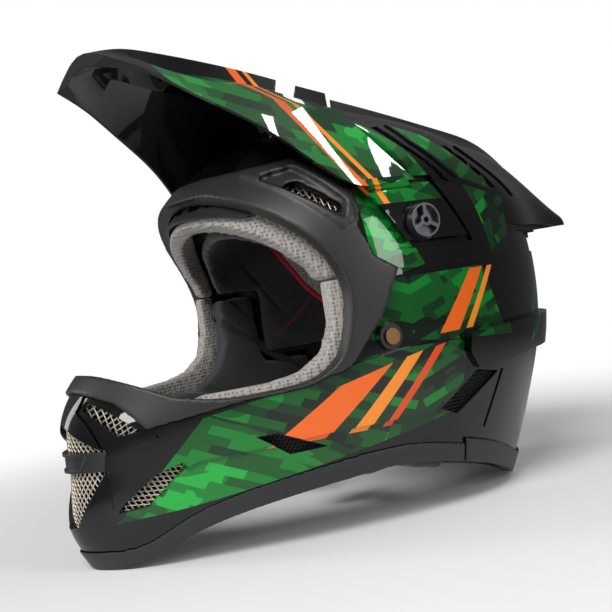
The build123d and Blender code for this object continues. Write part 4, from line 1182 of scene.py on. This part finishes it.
# Wire mesh behind each vent: crossing wires clipped to the outline
def clipped(points, start, end):
    """Stretches of a line inside an outline."""
    points = np.asarray(points, float)
    cuts = [0.0, 1.0]
    d = end - start
    for a, b in zip(points, np.roll(points, -1, axis=0)):
        e = b - a
        det = d[0] * e[1] - d[1] * e[0]
        if abs(det) < 1e-9:
            continue
        t = ((a - start)[0] * e[1] - (a - start)[1] * e[0]) / det
        u = ((a - start)[0] * d[1] - (a - start)[1] * d[0]) / det
        if 0 <= u < 1 and 0 < t < 1:
            cuts.append(t)
    cuts = sorted(cuts)
    kept = []
    for t0, t1 in zip(cuts[:-1], cuts[1:]):
        q = start + d * (t0 + t1) / 2
        inside_now = False
        for a, b in zip(points, np.roll(points, -1, axis=0)):
            if (a[1] > q[1]) != (b[1] > q[1]):
                if q[0] < a[0] + (q[1] - a[1]) / (b[1] - a[1]) * (b[0] - a[0]):
                    inside_now = not inside_now
        if inside_now and t1 - t0 > 1e-6:
            kept.append((start + d * t0, start + d * t1))
    return kept


def lattice(points, lay, lean, pitch, step=3.0, half_angle=31):
    """Wires of a diamond mesh over an outline, laid on a skin by a function."""
    points = np.asarray(points, float)
    centre = points.mean(axis=0)
    reach = np.linalg.norm(points - centre, axis=1).max() + 2
    verts, edges = [], []
    for angle in (lean + half_angle, lean - half_angle):
        a = math.radians(angle)
        along = np.array([math.cos(a), math.sin(a)])
        cross = np.array([-along[1], along[0]])
        for k in range(-int(reach / pitch) - 1, int(reach / pitch) + 2):
            middle = centre + cross * k * pitch
            for start, end in clipped(points, middle - along * reach, middle + along * reach):
                count = max(1, int(np.linalg.norm(end - start) / step))
                joined = False
                for t in np.linspace(0, 1, count + 1):
                    place = lay(*(start + (end - start) * t))
                    if place is not None:
                        verts.append(place)
                        if joined:
                            edges.append((len(verts) - 2, len(verts) - 1))
                    joined = place is not None
    return verts, edges


def wire_tree(name, wire_material):
    """Node tree that turns edges into wires of a round section."""
    tree = bpy.data.node_groups.new(name, "GeometryNodeTree")
    tree.interface.new_socket("Geometry", in_out="INPUT", socket_type="NodeSocketGeometry")
    radius = tree.interface.new_socket("Wire radius", in_out="INPUT",
                                       socket_type="NodeSocketFloat")
    radius.default_value = 0.00042
    tree.interface.new_socket("Geometry", in_out="OUTPUT", socket_type="NodeSocketGeometry")
    t = Tree(tree)
    start = t.add("NodeGroupInput")
    curve = t.add("GeometryNodeMeshToCurve", {"Mesh": start.outputs["Geometry"]})
    ring = t.add("GeometryNodeCurvePrimitiveCircle", {
        "Resolution": 6, "Radius": start.outputs["Wire radius"]})
    wires = t.add("GeometryNodeCurveToMesh", {"Curve": curve.outputs[0],
                                              "Profile Curve": ring.outputs["Curve"],
                                              "Fill Caps": True})
    real = t.add("GeometryNodeRealizeInstances", {"Geometry": wires.outputs[0]})
    painted = t.add("GeometryNodeSetMaterial", {"Geometry": real.outputs[0],
                                                "Material": wire_material})
    t.add("NodeGroupOutput", {"Geometry": painted.outputs[0]})
    return tree, radius.identifier


def wired(name, wires, finish, radius_mm, replaced):
    """Puts round wires along edges into the scene in some nodes' places."""
    verts, edges = wires
    mesh = bpy.data.meshes.new(name)
    mesh.from_pydata((np.array(verts) * 0.001).tolist(), edges, [])
    source = bpy.data.objects.new(name, mesh)
    tree, identifier = wire_tree(name + "_nodes", finish)
    modifier = source.modifiers.new("wires", "NODES")
    modifier.node_group = tree
    modifier[identifier] = radius_mm * 0.001
    made = finished(source)
    bpy.data.objects.remove(source)
    body = bpy.data.objects.new(name, made)
    bpy.context.scene.collection.objects.link(body)
    made.shade_smooth()
    stands_for(body, replaced, "helmet")


def gather(wires, verts, edges):
    """Adds points and edges to a set of wires."""
    base = len(wires[0])
    wires[0].extend(verts)
    wires[1].extend((a + base, b + base) for a, b in edges)


mesh_inset = foam_outer + seat_gap + 0.5
mesh_grow = 2.6
steel_pitch, black_pitch = 2.7, 2.3
spoiler_reach = 78
steel, black, stitches = ([], []), ([], []), ([], [])
steel_nodes, black_nodes = ["mouth_mesh"], []


def behind_vent(vent, sign):
    """Function that lays wires of a side vent's mesh."""
    def lay(y, z):
        place = on_side(mesh_inset, y, z, sign)
        if vent == "spoiler" and place is not None and abs(place[0]) > spoiler_reach:
            return None
        return place
    return lay


for vents_of, wires, nodes, pitch in (
        ((("brow", 60), ("chin_top", 65), ("chin_side", -35)), steel, steel_nodes, steel_pitch),
        ((("diamond", 25), ("exhaust", 30), ("spoiler", 10)), black, black_nodes, black_pitch)):
    for vent, lean in vents_of:
        for sign, word in sides:
            gather(wires, *lattice(side(vent, mesh_grow), behind_vent(vent, sign), lean, pitch))
            nodes.append(vent + "_mesh_" + word)
front_tree = tree_of(mesh_inset)
gather(steel, *lattice(front("mouth", mesh_grow),
                       lambda x, z: met(front_tree, (x, -400, z), (0, 1, 0)), 90, steel_pitch))
# Red stitches on the liner
liner_tree = surface(liner.data)
for sign, word in sides:
    path = [met(liner_tree, (0, y, z), (sign, 0, 0))
            for y, z in path_spline([(39.5, 145), (22, 130.6), (4, 118)], 44)]
    for first, second in zip(path[:-1:2], path[1::2]):
        gather(stitches, [first, second], [(0, 1)])
wired("pad_stitches", stitches, red_piping, 0.5, ["comfort_liner"])
wired("steel_wires", steel, steel_mesh, 0.55, steel_nodes)
wired("black_wires", black, black_mesh, 0.4, black_nodes)

# CAD pieces that stay as they are
keep_materials = {
    "screw_metal": screw_metal, "insert_brass": insert_brass, "ring_steel": ring_steel,
    "rivet_bronze": rivet_bronze, "washer_plastic": washer_plastic,
    "stud_plastic": stud_plastic}
node_slots = {piece["node"]: piece["material_slot"] for piece in frame["record"]["subparts"]}
for node, obj in frame["nodes"].items():
    finish = keep_materials.get(node_slots.get(node))
    if finish is not None:
        for holder in obj.material_slots:
            holder.material = finish

# Floor, light and camera
floor_mesh = bpy.data.meshes.new("floor")
floor_mesh.from_pydata([(x * 6, y * 6, -0.0005) for x, y in ((-1, -1), (1, -1), (1, 1), (-1, 1))],
                       [], [(0, 1, 2, 3)])
floor = bpy.data.objects.new("floor", floor_mesh)
bpy.context.scene.collection.objects.link(floor)
# Pale matt floor that fades out into the white round the helmet
floor_finish, tree, shader = material("floor_finish", "f4f4f4", 0.6)
distance = tree.add("ShaderNodeVectorMath", {0: tree.place()},
                    operation="LENGTH").outputs["Value"]
fade = tree.add("ShaderNodeMapRange", {"Value": distance, "From Min": 0.22, "From Max": 0.7},
                interpolation_type="SMOOTHSTEP").outputs[0]
clear = tree.add("ShaderNodeBsdfTransparent")
out = tree.add("ShaderNodeMixShader", {0: fade, 1: shader.outputs[0], 2: clear.outputs[0]})
tree.add("ShaderNodeOutputMaterial", {"Surface": out.outputs[0]}).is_active_output = True
floor_mesh.materials.append(floor_finish)


def soft_box(name, place, target, size, energy):
    """Area lamp that faces a place."""
    light = bpy.data.lights.new(name, "AREA")
    light.shape = "RECTANGLE"
    light.size, light.size_y = size
    light.energy = energy
    lamp = bpy.data.objects.new(name, light)
    lamp.location = place
    lamp.rotation_euler = (Vector(target) - Vector(place)).to_track_quat("-Z", "Y").to_euler()
    bpy.context.scene.collection.objects.link(lamp)
    return lamp


target = (0.0, 0.005, 0.13)
camera_distance = 0.76
lamps = [
    soft_box("key", (0.9, -1.1, 1.5), target, (1.1, 0.7), 30),
    soft_box("strip", (0.15, 0.95, 1.5), target, (1.9, 0.05), 5),
    soft_box("side", (1.9, 0.7, 0.7), target, (0.5, 1.3), 14),
    soft_box("left", (-1.3, -1.5, 0.7), target, (0.5, 1.2), 12),
    soft_box("fill", (0.55, -1.5, 0.25), (-0.07, 0.02, 0.14), (0.3, 0.3), 5),
]
world = bpy.data.worlds.new("studio")
bpy.context.scene.world = world
world.use_nodes = True
world.node_tree.nodes.clear()
sky = Tree(world.node_tree)
path = sky.add("ShaderNodeLightPath")
around = sky.add("ShaderNodeBackground", {"Color": (0.5, 0.5, 0.52, 1), "Strength": 0.22})
white = sky.add("ShaderNodeBackground", {"Color": (1, 1, 1, 1), "Strength": 1.0})
both = sky.add("ShaderNodeMixShader", {0: path.outputs["Is Camera Ray"], 1: around.outputs[0],
                                       2: white.outputs[0]})
sky.add("ShaderNodeOutputWorld", {"Surface": both.outputs[0]})

azimuth, elevation, roll = math.radians(60), math.radians(2), math.radians(-8.5)
back = Vector((math.sin(azimuth) * math.cos(elevation),
               -math.cos(azimuth) * math.cos(elevation), math.sin(elevation)))
right = Vector((math.cos(azimuth), math.sin(azimuth), 0))
up = back.cross(right)
turned_right = right * math.cos(roll) + up * math.sin(roll)
turned_up = up * math.cos(roll) - right * math.sin(roll)
# Lens in pixels of a picture of 612, with the target at (324, 316)
picture, focal, sensor = 612, 1085, 36
lens = bpy.data.cameras.new("camera")
lens.sensor_width = sensor
lens.lens = focal / picture * sensor
lens.shift_x = -(324 - picture / 2) / picture
lens.shift_y = (316 - picture / 2) / picture
lens.clip_start = 0.01
camera = bpy.data.objects.new("camera", lens)
camera.location = Vector(target) + back * camera_distance
axes = np.array([turned_right, turned_up, back]).T
camera.rotation_euler = Matrix(axes.tolist()).to_euler()
bpy.context.scene.collection.objects.link(camera)
bpy.context.scene.camera = camera
view = bpy.context.scene.view_settings
view.view_transform = "Standard"
view.look = "None"
view.exposure = 0
view.gamma = 1
